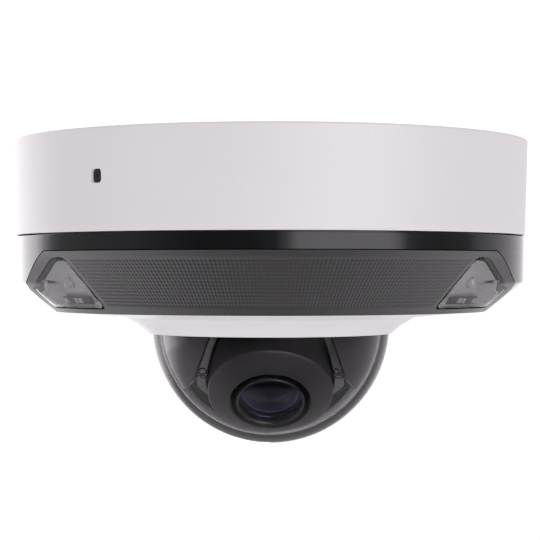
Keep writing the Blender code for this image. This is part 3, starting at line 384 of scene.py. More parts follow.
def housing_shell():
    """A closed outline carried round Z. The outer wall is pushed in by the depth of the
    sound port, a rounded rectangle, and of the screw hole, a circle. The deck ends in the
    round cable hole, whose centre is set back, so its points run from one circle to
    another."""
    fine_port = PORT_AZIMUTH + np.arange(-1.75, 1.76, 0.1)
    fine_screw = 180.0 + np.arange(-1.2, 1.21, 0.12)
    azimuth = np.unique(np.round(np.concatenate([np.arange(-170.0, 190.1, 1.5), fine_port,
                                                 fine_screw]), 4))
    azimuth = azimuth[azimuth < 190.0]
    wall_heights = np.unique(np.round(np.concatenate([
        np.linspace(SEAM_HEIGHT + 0.3, -0.5, 14), PORT_HEIGHT + np.arange(-1.7, 1.71, 0.1),
        SCREW_HEIGHT + np.arange(-1.1, 0.9, 0.1)]), 4))
    seam_radius = HOUSING_RADIUS - HOUSING_DRAFT
    inner = HOUSING_RADIUS - HOUSING_WALL
    lean = HOUSING_DRAFT / -SEAM_HEIGHT
    wall = np.stack([HOUSING_RADIUS + lean * wall_heights, wall_heights], axis=-1)
    rim = np.array([(HOUSING_RADIUS - 0.03, -0.22), (HOUSING_RADIUS - 0.13, -0.07),
                    (HOUSING_RADIUS - 0.35, 0.0), (inner + 0.3, 0.0), (inner + 0.08, -0.08),
                    (inner, -0.3), (inner, DECK_TOP)])
    under = np.array([(inner, DECK_BOTTOM), (inner, LEDGE_TOP), (LEDGE_INNER, LEDGE_TOP),
                      (LEDGE_INNER, LEDGE_BOTTOM), (inner, LEDGE_BOTTOM),
                      (inner, SEAM_HEIGHT + 0.1), (inner + 0.1, SEAM_HEIGHT),
                      (seam_radius - 0.25, SEAM_HEIGHT), (seam_radius - 0.07, SEAM_HEIGHT + 0.07),
                      (seam_radius, SEAM_HEIGHT + 0.25)])
    outline = np.vstack([wall, rim, under])
    radius = np.repeat(outline[:, 0:1], len(azimuth), axis=1)
    height = np.repeat(outline[:, 1:2], len(azimuth), axis=1)
    across = np.radians(azimuth - PORT_AZIMUTH) * HOUSING_RADIUS
    aside = np.abs(across) - (PORT_SIZE[0] / 2 - PORT_CORNER)
    above = np.abs(height[:len(wall)] - PORT_HEIGHT) - (PORT_SIZE[1] / 2 - PORT_CORNER)
    gap = (np.hypot(np.maximum(aside, 0), np.maximum(above, 0))
           + np.minimum(np.maximum(aside, above), 0) - PORT_CORNER)
    at_screw = np.hypot(np.radians(azimuth - 180.0) * HOUSING_RADIUS,
                        height[:len(wall)] - SCREW_HEIGHT) - SCREW_HOLE
    radius[:len(wall)] -= PORT_DEPTH * step_in(gap) + SCREW_DEPTH * step_in(at_screw)
    shell = ring_points(radius, azimuth[None, :], height)
    split_at = len(wall) + len(rim)
    hole = ring_points(CABLE_HOLE, azimuth, DECK_TOP) + np.array([0.0, CABLE_Y, 0.0])
    under_hole = hole + np.array([0.0, 0.0, DECK_BOTTOM - DECK_TOP])
    deck_top = shell[split_at - 1] * (1 - DECK_SHARES) + hole * DECK_SHARES
    deck_under = under_hole * (1 - DECK_SHARES) + shell[split_at] * DECK_SHARES
    rows = np.concatenate([shell[:split_at - 1], deck_top, deck_under, shell[split_at + 1:]])
    rows = np.concatenate([rows, rows[:1]])
    return np.concatenate([rows, rows[:, :1]], axis=1)


surface("housing_shell", [housing_shell()], PORCELAIN_WHITE, "root",
        ["base_housing"], closed=True)


# Posts moulded under the deck: three carry the chassis plate, two the main board. Each is
# a plain boss with a blind hole for its screw.

POST_CIRCLE, POST_END, BOARD_POST_END = 38.5, -25.9, -8.7
BOARD_POSTS = [(24.0, -22.0), (-24.0, 22.0)]


def turned_grid(profile, steps=96, centre=(0.0, 0.0)):
    """A profile of (radius, height) points carried all the way round a vertical axis."""
    profile = np.asarray(profile, float)
    azimuth = np.linspace(0.0, 360.0, steps + 1)
    azimuth[-1] = 0.0
    grid = ring_points(profile[:, 0:1], azimuth[None, :], profile[:, 1:2])
    return grid + np.array([centre[0], centre[1], 0.0])


def post_grid(centre, end, radius, hole, depth):
    """A boss from the deck down to its end, with a blind hole up into it."""
    top = DECK_BOTTOM - 0.02
    profile = [(0.0, top), (radius, top), (radius, end + 0.3), (radius - 0.3, end),
               (hole + 0.15, end), (hole, end + 0.15), (hole, end + depth), (0.0, end + depth)]
    return turned_grid(profile, 32, centre)


post_places = [ring_points(POST_CIRCLE, angle, 0.0)[:2] for angle in (0.0, 120.0, 240.0)]
for number, centre in enumerate(post_places, 1):
    surface(f"chassis_post_{number}", [post_grid(centre, POST_END, 3.2, 1.7, 8.0)],
            PORCELAIN_WHITE, "root", closed=True)
for number, centre in enumerate(BOARD_POSTS, 1):
    surface(f"board_post_{number}", [post_grid(centre, BOARD_POST_END, 2.8, 1.2, 3.2)],
            PORCELAIN_WHITE, "root", closed=True)


# Sound port insert: a black rubber plug with a small dished hole, pressed into the port
# from inside, so that its face stands a little under the white wall.

PORT_RUBBER = finish_of("port_rubber", (0.016, 0.016, 0.017), 0.6, grain=0.01, grain_size=0.2,
                        wear=0.1)


def port_insert():
    """A rounded rectangle swept inwards from a soft front edge to a flat back; its middle
    dips to a pit."""
    outline = eased([(-1, -1), (1, -1), (1, 1), (-1, 1)], 0.6, 6)
    outline = looped(outline * (np.array(PORT_SIZE) / 2 - 0.1))
    size = np.array([0.0, 0.18, 0.22, 0.5, 0.85, 0.96, 1.0, 1.0, 0.0])[:, None]
    depth = np.array([0.9, 0.9, 0.45, 0.42, 0.42, 0.47, 0.6, 1.75, 1.75])[:, None]
    across, above = size * outline[:, 0], size * outline[:, 1]
    radius = HOUSING_RADIUS - 0.32 - depth + 0.0 * across
    azimuth = PORT_AZIMUTH + np.degrees(across / HOUSING_RADIUS)
    return ring_points(radius, azimuth, PORT_HEIGHT + above)


surface("sound_port_insert", [port_insert()], PORT_RUBBER, "root",
        ["microphone"], closed=True)


# ---------------------------------------------------------------- front cover
# The black cover is a polished moulding: a gloss band under the housing, a straight side, a
# chamfer in to a flat underside, and the ring opening for the dome. In front it steps back
# to seat the grey panel. Three long screws pull it up to the housing's ledge.

COVER_TOP, COVER_RADIUS = -22.36, 60.20
BAND_BOTTOM = -25.93
CHAMFER_TOP, CHAMFER_RADIUS = -33.0, 60.0
UNDERSIDE, UNDERSIDE_RADIUS = -39.8, 51.45
OPENING_RADIUS = 47.85
LIP_TOP, LIP_OUTER, LIP_INNER = -19.36, 57.5, 51.9
CUP_SEAT_TOP, CUP_SEAT_BOTTOM, CUP_SEAT_DEPTH = -27.0, -39.2, 4.7
PANEL_THICKNESS = 2.0
FIT_GAP = 0.3
BAY_INNER = ((27.7, 38.5), (49.4, 43.3))
BAY_OUTER = ((25.93, 26.93, 28.0, 33.0, 34.6, 36.4, 39.8),
             (55.3, 57.8, 59.6, 66.3, 71.2, 73.4, 74.5))
PIANO_BLACK = finish_of("cover_gloss_black", (0.0055, 0.005, 0.006), 0.07, wear=0.1)


def body_radius(height):
    """Outer radius of the cover: nearly straight down to the chamfer, then straight in."""
    return np.interp(-height, (-COVER_TOP, -CHAMFER_TOP, -UNDERSIDE),
                     (COVER_RADIUS, CHAMFER_RADIUS, UNDERSIDE_RADIUS))


def cone_radius(height):
    """Radius of the leaning panel: straight from the band down to the underside."""
    return np.interp(-height, (-BAND_BOTTOM, -UNDERSIDE),
                     (body_radius(BAND_BOTTOM), UNDERSIDE_RADIUS))


def bay_inner(height):
    """Azimuth where a window bay leaves the cone."""
    return np.interp(-height, *BAY_INNER)


def bay_outer(height):
    """Azimuth of the panel's outer edge: a bent line, softened by a running mean."""
    return np.mean([np.interp(-height + shift, *BAY_OUTER)
                    for shift in np.linspace(-0.5, 0.5, 7)], axis=0)


def front_radius(azimuth, height):
    """The panel's surface: the cone, easing out to the body between the bay's two edges."""
    inner = bay_inner(height)
    share = np.clip((np.abs(azimuth) - inner) / (bay_outer(height) - inner), 0.0, 1.0)
    cone = cone_radius(height)
    return cone + share ** 1.6 * (body_radius(height) - cone)


def cover_shell():
    """A closed section carried round Z. Its columns follow the panel's outer edge, so that
    the seat's steps at both sides stay sharp; inside them the section's outer side is the
    panel's surface moved in by its thickness, and behind a window by the reflector too."""
    seat = np.linspace(0.0, 1.0, 40)
    inside = np.concatenate([-seat[:0:-1], seat])
    outside = np.linspace(1.0, 0.0, 110)[1:-1]
    steps = [(COVER_TOP - 0.25, 0.0), (-23.5, 0.0), (-24.7, 0.0), (BAND_BOTTOM + 0.2, 0.0),
             (BAND_BOTTOM + 0.06, 0.0), (BAND_BOTTOM - 0.05, 1.0)]
    steps += [(height, 1.0) for height in np.linspace(BAND_BOTTOM - 1.0, CHAMFER_TOP + 0.25, 10)]
    steps += [(CHAMFER_TOP, 1.0), (CHAMFER_TOP - 0.25, 1.0), (-34.6, 1.0), (-35.6, 1.0),
              (-36.8, 1.0), (-38.0, 1.0), (UNDERSIDE + 0.25, 1.0)]
    height = np.array([step[0] for step in steps])[:, None]
    seated = np.array([step[1] for step in steps])[:, None]
    edge = bay_outer(height) + np.degrees(FIT_GAP / UNDERSIDE_RADIUS)
    ramp_out = 0.12
    right = edge + ramp_out + (180.0 - edge - ramp_out) * (1.0 - outside[None, :])
    columns = np.concatenate([inside[None, :] * edge, edge + ramp_out, right,
                              180.0 + 0.0 * edge, 360.0 - right[:, ::-1],
                              360.0 - edge - ramp_out], axis=1)
    signed = np.where(columns > 180.0, columns - 360.0, columns)
    within = (np.abs(signed) <= edge + 1e-6) * seated
    seat_radius = front_radius(signed, height) - PANEL_THICKNESS - FIT_GAP
    window = ((np.abs(signed) > bay_inner(height) - 2.0) & (height < CUP_SEAT_TOP)
              & (height > CUP_SEAT_BOTTOM))
    seat_radius = np.where(window, np.minimum(seat_radius, cone_radius(height) - CUP_SEAT_DEPTH),
                           seat_radius)
    radius = body_radius(height) * (1 - within) + seat_radius * within
    corner = np.where((height > CHAMFER_TOP - 0.1) & (height < CHAMFER_TOP + 0.1), 0.06, 0.0)
    outer = ring_points(radius - corner * (1 - within), columns, height + 0.0 * columns)
    top = [(LIP_INNER, LIP_TOP), (LIP_OUTER - 0.2, LIP_TOP), (LIP_OUTER, LIP_TOP - 0.2),
           (LIP_OUTER, COVER_TOP), (COVER_RADIUS - 0.2, COVER_TOP),
           (COVER_RADIUS - 0.05, COVER_TOP - 0.06)]
    base = [(None, UNDERSIDE + 0.06), (None, UNDERSIDE), (OPENING_RADIUS + 0.2, UNDERSIDE),
            (OPENING_RADIUS, UNDERSIDE + 0.2), (OPENING_RADIUS, -36.7), (43.25, -36.7),
            (43.25, -35.2), (45.6, -35.2), (46.2, CHAMFER_TOP), (48.0, -29.5), (LIP_INNER, -25.0)]
    above = [ring_points(ring, columns[:1], level) for ring, level in top]
    below = []
    for ring, level in base:
        if ring is None:
            inset = 0.06 if level > UNDERSIDE else 0.3
            ring = np.where(within[-1:] > 0, seat_radius[-1:], UNDERSIDE_RADIUS - inset)
        below.append(ring_points(ring, columns[-1:], level))
    rows = np.concatenate(above + [outer] + below)
    rows = np.concatenate([rows, rows[:1]])
    return np.concatenate([rows, rows[:, :1]], axis=1)


surface("cover_shell", [cover_shell()], PIANO_BLACK, "root",
        ["front_cover"], closed=True, sharp=30.0)


# ---------------------------------------------------------------- front panel
# The panel is a separate moulding in dark grey, 2 mm thick, held in the cover's seat. Its
# middle carries a fine grid of dimples between smooth borders, and each end turns outwards
# round a window, with a narrow gap round the pane.

GRAPHITE = finish_of("panel_dark_grey", (0.026, 0.0252, 0.026), 0.42, grain=0.003,
                     grain_size=0.15, wear=0.05, sheen=0.35, ior=1.7)
PANEL_TOP = BAND_BOTTOM - 0.15
FIELD_TOP, FIELD_BOTTOM = -27.77, -38.0
FIELD_ROWS, FIELD_COLUMNS = 14, 106
DIMPLE_DEPTH = 0.21
PANEL_WALL = 1.7
BORDER = 0.9
FIELD_END = 0.975
WINDOW_CORNERS = [(49.4, -27.7), (53.7, -27.7), (64.0, -33.9), (68.6, -34.6), (69.0, -38.5),
                  (43.3, -38.5)]
WINDOW_MIDDLE = np.array([55.5, -34.8])
DEGREE = 0.98


def central_patch():
    """Grid over the middle of the panel. Columns divide each height's width evenly, so the
    dimples, four points to a pitch each way, fan out with the cone. A dimple is a square
    pyramid: the smaller of two triangle waves, pushed inwards. The back is the same grid
    moved in, and strips join the two along the top and the bottom."""
    pitches = np.arange(4 * FIELD_ROWS + 1) / 4.0
    field = FIELD_TOP + (FIELD_BOTTOM - FIELD_TOP) * pitches / FIELD_ROWS
    height = np.concatenate([[PANEL_TOP, PANEL_TOP - 0.5, PANEL_TOP - 1.1], field,
                             [FIELD_BOTTOM - 0.5, FIELD_BOTTOM - 1.1, UNDERSIDE]])
    row_wave = np.concatenate([[0.0] * 3, np.abs((pitches % 1.0) - 0.5), [0.0] * 3])
    row_wave = np.where((height <= FIELD_TOP) & (height >= FIELD_BOTTOM), 1 - 2 * row_wave, 0.0)
    across = np.arange(4 * FIELD_COLUMNS + 1) / 4.0
    middle = FIELD_END * (2.0 * across / FIELD_COLUMNS - 1.0)
    share = np.concatenate([[-1.0, -0.99, -0.98], middle, [0.98, 0.99, 1.0]])
    column_wave = np.concatenate([[0.0] * 3, 1 - 2 * np.abs((across % 1.0) - 0.5), [0.0] * 3])
    azimuth = share[None, :] * (bay_inner(height) - BORDER)[:, None]
    level = height[:, None] + 0.0 * azimuth
    dimple = DIMPLE_DEPTH * np.minimum(row_wave[:, None], column_wave[None, :])
    face = ring_points(front_radius(azimuth, level) - dimple, azimuth, level)
    back = ring_points(front_radius(azimuth, level) - PANEL_WALL, azimuth, level)
    edges = [np.stack([face[row], back[row]]) for row in (0, -1)]
    return [face, back, *edges], height


def densely(outline, spacing=0.05):
    """Points at an even spacing along a closed outline."""
    closed_line = looped(np.asarray(outline, float))
    along = np.concatenate([[0.0], np.cumsum(np.hypot(*np.diff(closed_line, axis=0).T))])
    at = np.arange(0.0, along[-1], spacing)
    return np.stack([np.interp(at, along, closed_line[:, axis]) for axis in (0, 1)], axis=-1)


def window_outline(grow, easing=1.5):
    """The window's rounded outline as (azimuth, height) points, grown by a margin in mm:
    each corner moves away along the bisector of its two edges."""
    corners = np.array(WINDOW_CORNERS) * (DEGREE, 1.0)
    before = np.roll(corners, 1, axis=0) - corners
    after = np.roll(corners, -1, axis=0) - corners
    before /= np.linalg.norm(before, axis=1, keepdims=True)
    after /= np.linalg.norm(after, axis=1, keepdims=True)
    turn = before[:, 0] * after[:, 1] - before[:, 1] * after[:, 0]
    corners = corners - grow * (before + after) / turn[:, None]
    return densely(eased(corners, easing)) / (DEGREE, 1.0)


def reach(outline, middle, bearing):
    """Distance in mm from the middle to a star-shaped outline along each bearing."""
    arm = (outline - middle) * (DEGREE, 1.0)
    angles = np.arctan2(arm[:, 1], arm[:, 0])
    return np.interp(bearing, angles[np.argsort(angles)],
                     np.hypot(arm[:, 0], arm[:, 1])[np.argsort(angles)], period=2 * np.pi)


def bay_patch(side, height):
    """The ring of panel round a window: straight lines run from points along the patch's
    outer outline to the window's outline grown by the gap, on bearings from one middle
    point. Every point then takes the panel's radius. Strips join face and back along the
    free part of the outer outline and round the window."""
    inner_edge = np.stack([bay_inner(height) - BORDER, height], axis=-1)[::-1]
    top = np.linspace(inner_edge[-1], (bay_outer(PANEL_TOP), PANEL_TOP), 26)[1:]
    fall = np.linspace(PANEL_TOP, UNDERSIDE, 56)[1:]
    outer = np.stack([bay_outer(fall), fall], axis=-1)
    bottom = np.linspace(outer[-1], inner_edge[0], 90)[1:-1]
    outline = np.concatenate([inner_edge, top, outer, bottom])
    arm = (outline - WINDOW_MIDDLE) * (DEGREE, 1.0)
    bearing = np.arctan2(arm[:, 1], arm[:, 0])
    far = np.hypot(arm[:, 0], arm[:, 1])
    near = reach(window_outline(FIT_GAP), WINDOW_MIDDLE, bearing)
    share = np.linspace(0.0, 1.0, 9)[:, None]
    distance = far * (1 - share) + near * share
    azimuth = WINDOW_MIDDLE[0] + distance * np.cos(bearing) / DEGREE
    level = WINDOW_MIDDLE[1] + distance * np.sin(bearing)
    face, back = (ring_points(front_radius(azimuth, level) - sunk, side * azimuth, level)
                  for sunk in (0.0, PANEL_WALL))
    face = np.concatenate([face, face[:, :1]], axis=1)
    back = np.concatenate([back, back[:, :1]], axis=1)
    free = slice(len(inner_edge) - 1, None)
    return [face, back, np.stack([face[0, free], back[0, free]]), np.stack([face[-1], back[-1]])]


middle_patch, panel_heights = central_patch()
surface("front_panel_moulding",
        middle_patch + bay_patch(-1, panel_heights) + bay_patch(1, panel_heights),
        GRAPHITE, "root", ["front_panel"], closed=True, edge=0.12,
        sharp=50.0)


# ---------------------------------------------------------------- infrared windows
# Each window is a clear moulded pane over a pale plastic cup. The cup narrows to a flat
# floor with the emitter in its middle, and a small board with three chips lies low in it.

PANE_CLEAR = finish_of("window_clear", (0.95, 0.95, 0.96), 0.03, wear=0.003, clear=1.0,
                       ior=1.49)
CUP_GREY = finish_of("reflector_grey", (0.7, 0.69, 0.7), 0.3, grain=0.002, grain_size=0.2,
                     wear=0.05, coat=0.4)
LED_CLEAR = finish_of("emitter_clear", (0.75, 0.75, 0.78), 0.08, wear=0.02, coat=1.0)
LED_BOARD = finish_of("led_board", (0.05, 0.05, 0.05), 0.5, wear=0.1)
PANE_THICKNESS = 1.4
LED_AZIMUTH, LED_HEIGHT = 56.0, -32.6


def bay_points(side, azimuth, height, radius):
    """Points round Z on the left (-1) or the right (1) of the object."""
    return ring_points(radius, side * azimuth, height)


def shrunk_rows(outline, middle, shares):
    """The outline drawn in towards the middle by each share, as azimuth and height rows."""
    shares = np.asarray(shares, float)[:, None]
    azimuth = middle[0] + (outline[:, 0] - middle[0]) * shares
    height = middle[1] + (outline[:, 1] - middle[1]) * shares
    return azimuth, height


def pane(side):
    """The window's outline, closed in to its middle, on the panel's surface."""
    outline = looped(window_outline(0.0)[::4])
    azimuth, height = shrunk_rows(outline, WINDOW_MIDDLE, np.linspace(1.0, 0.0, 14))
    return bay_points(side, azimuth, height, front_radius(azimuth, height))


def cup(side):
    """Rows run from the rim behind the pane down the flared wall to the flat floor, then
    back up outside it. A row is the outline drawn in by a share, at a radius between the
    pane's back and the cone moved in."""
    outline = looped(window_outline(-0.15)[::4])
    floor_middle = WINDOW_MIDDLE + np.array([0.2, 0.9])
    shares = [0.99, 0.985, 0.95, 0.9, 0.84, 0.78, 0.72, 0.68, 0.64, 0.5, 0.3, 0.0]
    depth = [0.0, 0.0, 0.22, 0.45, 0.65, 0.82, 0.94, 0.99, 1.0, 1.0, 1.0, 1.0]
    azimuth, height = shrunk_rows(outline, floor_middle, shares)
    depth = np.array(depth)[:, None]
    rim = front_radius(azimuth, height) - PANE_THICKNESS - 0.25
    radius = rim * (1 - depth) + (cone_radius(height) - 3.1) * depth
    inside = bay_points(side, azimuth, height, radius)
    azimuth, height = shrunk_rows(outline, floor_middle, [0.0, 0.6, 0.8, 0.98, 1.0, 1.0])
    back = np.array([1.0, 1.0, 0.9, 0.5, 0.3, 0.0])[:, None]
    radius = ((front_radius(azimuth, height) - PANE_THICKNESS - 0.25) * (1 - back)
              + (cone_radius(height) - 4.2) * back)
    outside = bay_points(side, azimuth, height, radius)
    return np.concatenate([inside, outside, inside[:1]])


def led_dome(side):
    """A small round lens: a flange, then a dome, turned about the line out of the cup."""
    azimuth = side * LED_AZIMUTH
    ring = looped(np.linspace(0.0, 2 * np.pi, 33)[:-1])
    radii = np.array([0.0, 1.3, 1.3, 1.05, 1.0, 0.85, 0.6, 0.3, 0.0])[:, None]
    rise = np.array([0.0, 0.0, 0.5, 0.5, 0.75, 1.05, 1.3, 1.42, 1.45])[:, None]
    out = ring_points(0.85, azimuth, -0.53)
    side_way = np.array([np.cos(np.radians(azimuth)), np.sin(np.radians(azimuth)), 0.0])
    up_way = np.cross(out, side_way)
    foot = ring_points(cone_radius(LED_HEIGHT) - 3.0, azimuth, LED_HEIGHT)
    return (foot + rise[..., None] * out + (radii * np.cos(ring))[..., None] * side_way
            + (radii * np.sin(ring))[..., None] * up_way)


def strip_box(side, azimuths, heights, depths):
    """A block bent round Z: its section runs round four edges and is carried in azimuth."""
    azimuth = np.linspace(azimuths[0], azimuths[1], 16)[None, :]
    section = eased([(heights[0], depths[0]), (heights[0], depths[1]),
                     (heights[1], depths[1]), (heights[1], depths[0])], 0.1, 3)
    height = looped(section)[:, :1]
    inset = looped(section)[:, 1:]
    azimuth = azimuth + 0.0 * height
    body = bay_points(side, azimuth, height + 0.0 * azimuth, cone_radius(height) - inset)
    start = np.broadcast_to(body[:, :1].mean(axis=0, keepdims=True), body[:, :1].shape)
    end = np.broadcast_to(body[:, -1:].mean(axis=0, keepdims=True), body[:, :1].shape)
    return np.concatenate([start, body, end], axis=1)


for side, word in ((-1, "left"), (1, "right")):
    surface(f"window_pane_{word}", [pane(side)], PANE_CLEAR, "root",
            [f"window_{word}"], wall=PANE_THICKNESS, edge=0.18)
    surface(f"reflector_cup_{word}", [cup(side)], CUP_GREY, "root",
            [f"reflector_{word}"], closed=True)
    surface(f"led_lens_{word}", [led_dome(side)], LED_CLEAR, "root",
            [f"ir_emitter_{word}"], closed=True)
    surface(f"led_strip_{word}", [strip_box(side, (49.5, 63.5), (-35.7, -37.3), (2.2, 2.95))],
            LED_BOARD, "root", [f"ir_board_{word}"], closed=True)
    for number, azimuth in enumerate((52.6, 54.6, 60.4), 1):
        surface(f"led_chip_{word}_{number}",
                [strip_box(side, (azimuth, azimuth + 0.9), (-35.95, -37.05), (1.75, 2.2))],
                LED_CLEAR, "root", closed=True)


# ---------------------------------------------------------------- trim ring
# A white moulding closes the cover's opening: a flat flange, a shallow dish, then a collar
# that curls in to the dome's edge. It holds the dome's flange down against its seal.

TRIM_TOP, TRIM_RADIUS = -38.5, 47.55
DOME_RADIUS, DOME_WALL, DOME_CENTRE = 28.5, 1.9, -43.0
COLLAR = [(31.4, TRIM_TOP), (TRIM_RADIUS, TRIM_TOP), (TRIM_RADIUS, -40.0), (34.8, -41.2),
          (33.9, -41.68), (33.1, -42.15), (31.7, -42.95), (30.2, -44.05), (29.1, -45.2),
          (28.8, -45.2), (28.8, -42.3), (31.4, -42.3)]
surface("trim_ring_moulding", [looped(turned_grid(eased(COLLAR, 0.35), 160))],
        PORCELAIN_WHITE, "root", ["trim_ring"], closed=True, sharp=45.0)


# ---------------------------------------------------------------- dome
# The dome is a clear polycarbonate bubble, 1.9 mm thick, with a flat flange that the trim
# ring clamps. Both faces are polished spheres about one centre.

DOME_CLEAR = finish_of("dome_clear", (0.93, 0.922, 0.932), 0.012, wear=0.002, clear=1.0,
                       ior=1.15)


def dome_profile():
    """Outer sphere from pole to edge, flange, then inner sphere back to the pole."""
    angle = np.linspace(np.pi / 2, 0.0, 50)
    inner = DOME_RADIUS - DOME_WALL
    outside = np.stack([DOME_RADIUS * np.cos(angle),
                        DOME_CENTRE - DOME_RADIUS * np.sin(angle)], axis=-1)
    inside = np.stack([inner * np.cos(angle), DOME_CENTRE - inner * np.sin(angle)], axis=-1)
    flange = np.array([(DOME_RADIUS, -42.15), (DOME_RADIUS + 0.15, -42.0), (30.95, -42.0),
                       (31.1, -41.85), (31.1, -40.35), (30.95, -40.2), (inner, -40.2)])
    outside[0, 0] = inside[0, 0] = 0.0
    return np.vstack([outside, flange, inside[::-1]])


surface("dome_bubble_clear", [turned_grid(dome_profile(), 128)], DOME_CLEAR, "root",
        ["dome_bubble"], closed=True)


# ---------------------------------------------------------------- yoke
# A black ring turns under the chassis plate and carries two side cheeks of satin plastic.
# Each cheek follows the inside of the dome, and its front edge leans in over the head.

GIMBAL_BLACK = finish_of("gimbal_black", (0.014, 0.0138, 0.0142), 0.6, grain=0.006,
                         grain_size=0.15, wear=0.08)
CHEEK_SATIN = finish_of("cheek_satin_black", (0.045, 0.0435, 0.045), 0.34, grain=0.004,
                        grain_size=0.12, wear=0.06, coat=0.25)
CHEEK_RADIUS, CHEEK_TOP, CHEEK_TIP = 25.9, -33.5, 15.3
CHEEK_EDGE, CHEEK_LEAN, CHEEK_BEND = 13.75, 0.36, 11.6

surface("pan_base_ring", [looped(turned_grid(eased(
    [(20.5, -25.9), (24.0, -25.9), (24.0, -29.2), (28.0, -29.2), (28.0, -30.8), (25.9, -30.8),
     (25.9, -33.2), (20.5, -33.2)], 0.25), 96))], GIMBAL_BLACK, "pan",
        ["pan_base"], closed=True)


def cheek(side):
    """Rows fall from the yoke to the tip on a cylinder that becomes a sphere at the tilt
    axis; each row runs round from the leaning front edge to its mirror image behind. The
    edge bends outwards near the tip until it meets the sphere in a round end."""
    drop = np.concatenate([np.linspace(DOME_CENTRE - CHEEK_TOP, 0.0, 14)[:-1],
                           np.linspace(0.0, CHEEK_TIP, 44)])
    ball = np.sqrt(CHEEK_RADIUS ** 2 - np.clip(drop, 0.0, None) ** 2)
    edge = CHEEK_EDGE + CHEEK_LEAN * (drop - 2.0)
    tip = np.clip((drop - CHEEK_BEND) / (CHEEK_TIP - CHEEK_BEND), 0.0, 1.0)
    edge = edge + (ball - 0.02 - edge) * (1.0 - np.sqrt(1.0 - tip ** 2.6))
    start = np.degrees(np.arcsin(np.clip(edge / ball, 0.0, 1.0)))[:, None]
    share = 0.5 - 0.5 * np.cos(np.linspace(0.0, np.pi, 60))[None, :]
    azimuth = start + (180.0 - 2.0 * start) * share
    return ring_points(ball[:, None], side * azimuth, (DOME_CENTRE - drop)[:, None])


for side, word in ((-1, "left"), (1, "right")):
    surface(f"cheek_shell_{word}", [cheek(side)], CHEEK_SATIN, "pan",
            [f"cheek_{word}"], wall=0.8, edge=0.2)


# ---------------------------------------------------------------- head
# The head is a black ring that tilts between the cheeks, with a round chin under it and a
# dished cover behind. Its front rim drops away at the top and is cut back below; each side
# carries a paler dial band with the printed angle 90.

HEAD_RADIUS, HEAD_WALL, HEAD_FRONT, HEAD_BACK = 17.0, 1.8, 18.0, -4.2
FACE_RADIUS, FACE_CREASE = 14.2, 21.6
LENS_LEAN = np.radians(-45.0)
RIM_SLOPE, RIM_FLAT_AZIMUTH, RIM_DROP = 0.235, 80.0, 8.5
CUT_AZIMUTH, CUT_SLANT, CUT_WIDTH, CUT_DEPTH = 95.0, 8.0, 2.5, 6.5
CHIN_RADIUS, CHIN_HALF, CHIN_BACK = 24.75, 12.9, 108.0
MARK_AZIMUTH, MARK_RADIUS, MARK_HEIGHT, MARK_STROKE = 81.5, 15.8, 1.75, 0.24
DIAL_SATIN = finish_of("dial_satin", (0.20, 0.195, 0.20), 0.45, grain=0.003, wear=0.04)
MARK_BLACK = finish_of("mark_print", (0.004, 0.004, 0.004), 0.6, wear=0.05)
HEAD_SATIN = finish_of("head_satin_black", (0.05, 0.0485, 0.05), 0.4, grain=0.004,
                       grain_size=0.12, wear=0.06)
CHIN_BLACK = finish_of("chin_black", (0.02, 0.0195, 0.02), 0.9, grain=0.006, grain_size=0.15,
                       wear=0.08, ior=1.2)


def leaned(grid):
    """From the lens's own frame (it looks along -Z) to the model: a turn about X, then up
    to the tilt axis."""
    y = grid[..., 1] * np.cos(LENS_LEAN) - grid[..., 2] * np.sin(LENS_LEAN)
    z = grid[..., 1] * np.sin(LENS_LEAN) + grid[..., 2] * np.cos(LENS_LEAN) + DOME_CENTRE
    return np.stack([grid[..., 0], y, z], axis=-1)


def cut_start(radius):
    """Azimuth where the cut begins: further round towards the inside of the rim."""
    return CUT_AZIMUTH + (HEAD_RADIUS - radius) * CUT_SLANT


def rim_depth(radius, azimuth):
    """How far the rim stands along the lens axis: full at the sides, sinking evenly towards
    the top, and stepping back below a slanting cut at each lower side."""
    aside = np.abs(azimuth)
    top = np.clip(RIM_SLOPE * (RIM_FLAT_AZIMUTH - aside), 0.0, RIM_DROP)
    below = np.clip((aside - cut_start(radius)) / CUT_WIDTH, 0.0, 1.0)
    return HEAD_FRONT - top - CUT_DEPTH * below * below * (3.0 - 2.0 * below)


def head_ring():
    """A closed section carried round the lens axis; the front rim takes its depth from the
    rule above, with soft corners."""
    azimuth = np.unique(np.round(np.concatenate([
        np.linspace(-180.0, 180.0, 121), np.arange(90.0, 122.0, 0.6),
        np.arange(-121.4, -89.0, 0.6)]), 3))
    inner = FACE_RADIUS + FIT_GAP
    front = [(HEAD_RADIUS, 0.35), (HEAD_RADIUS - 0.1, 0.1), (HEAD_RADIUS - 0.35, 0.0),
             (16.2, 0.0), (15.7, 0.0), (15.2, 0.0), (inner + 0.3, 0.0), (inner + 0.1, 0.08),
             (inner, 0.3), (inner, 1.6)]
    radii = np.array([ring for ring, _ in front])[:, None]
    sunk = np.array([drop for _, drop in front])[:, None]
    reach_out = rim_depth(radii, azimuth[None, :]) - sunk
    rim = ring_points(radii, azimuth[None, :], -reach_out)
    back = [(HEAD_RADIUS - HEAD_WALL, -9.0), (HEAD_RADIUS - HEAD_WALL, -HEAD_BACK),
            (HEAD_RADIUS - 0.2, -HEAD_BACK), (HEAD_RADIUS, -HEAD_BACK - 0.2),
            (HEAD_RADIUS, 0.0), (HEAD_RADIUS, -6.0)]
    behind = [ring_points(ring, azimuth[None, :], level) for ring, level in back]
    rows = np.concatenate([rim] + behind)
    return leaned(np.concatenate([rows, rows[:1]]))


surface("head_ring_moulding", [head_ring()], HEAD_SATIN, "tilt",
        ["head_ring"], closed=True, sharp=40.0)


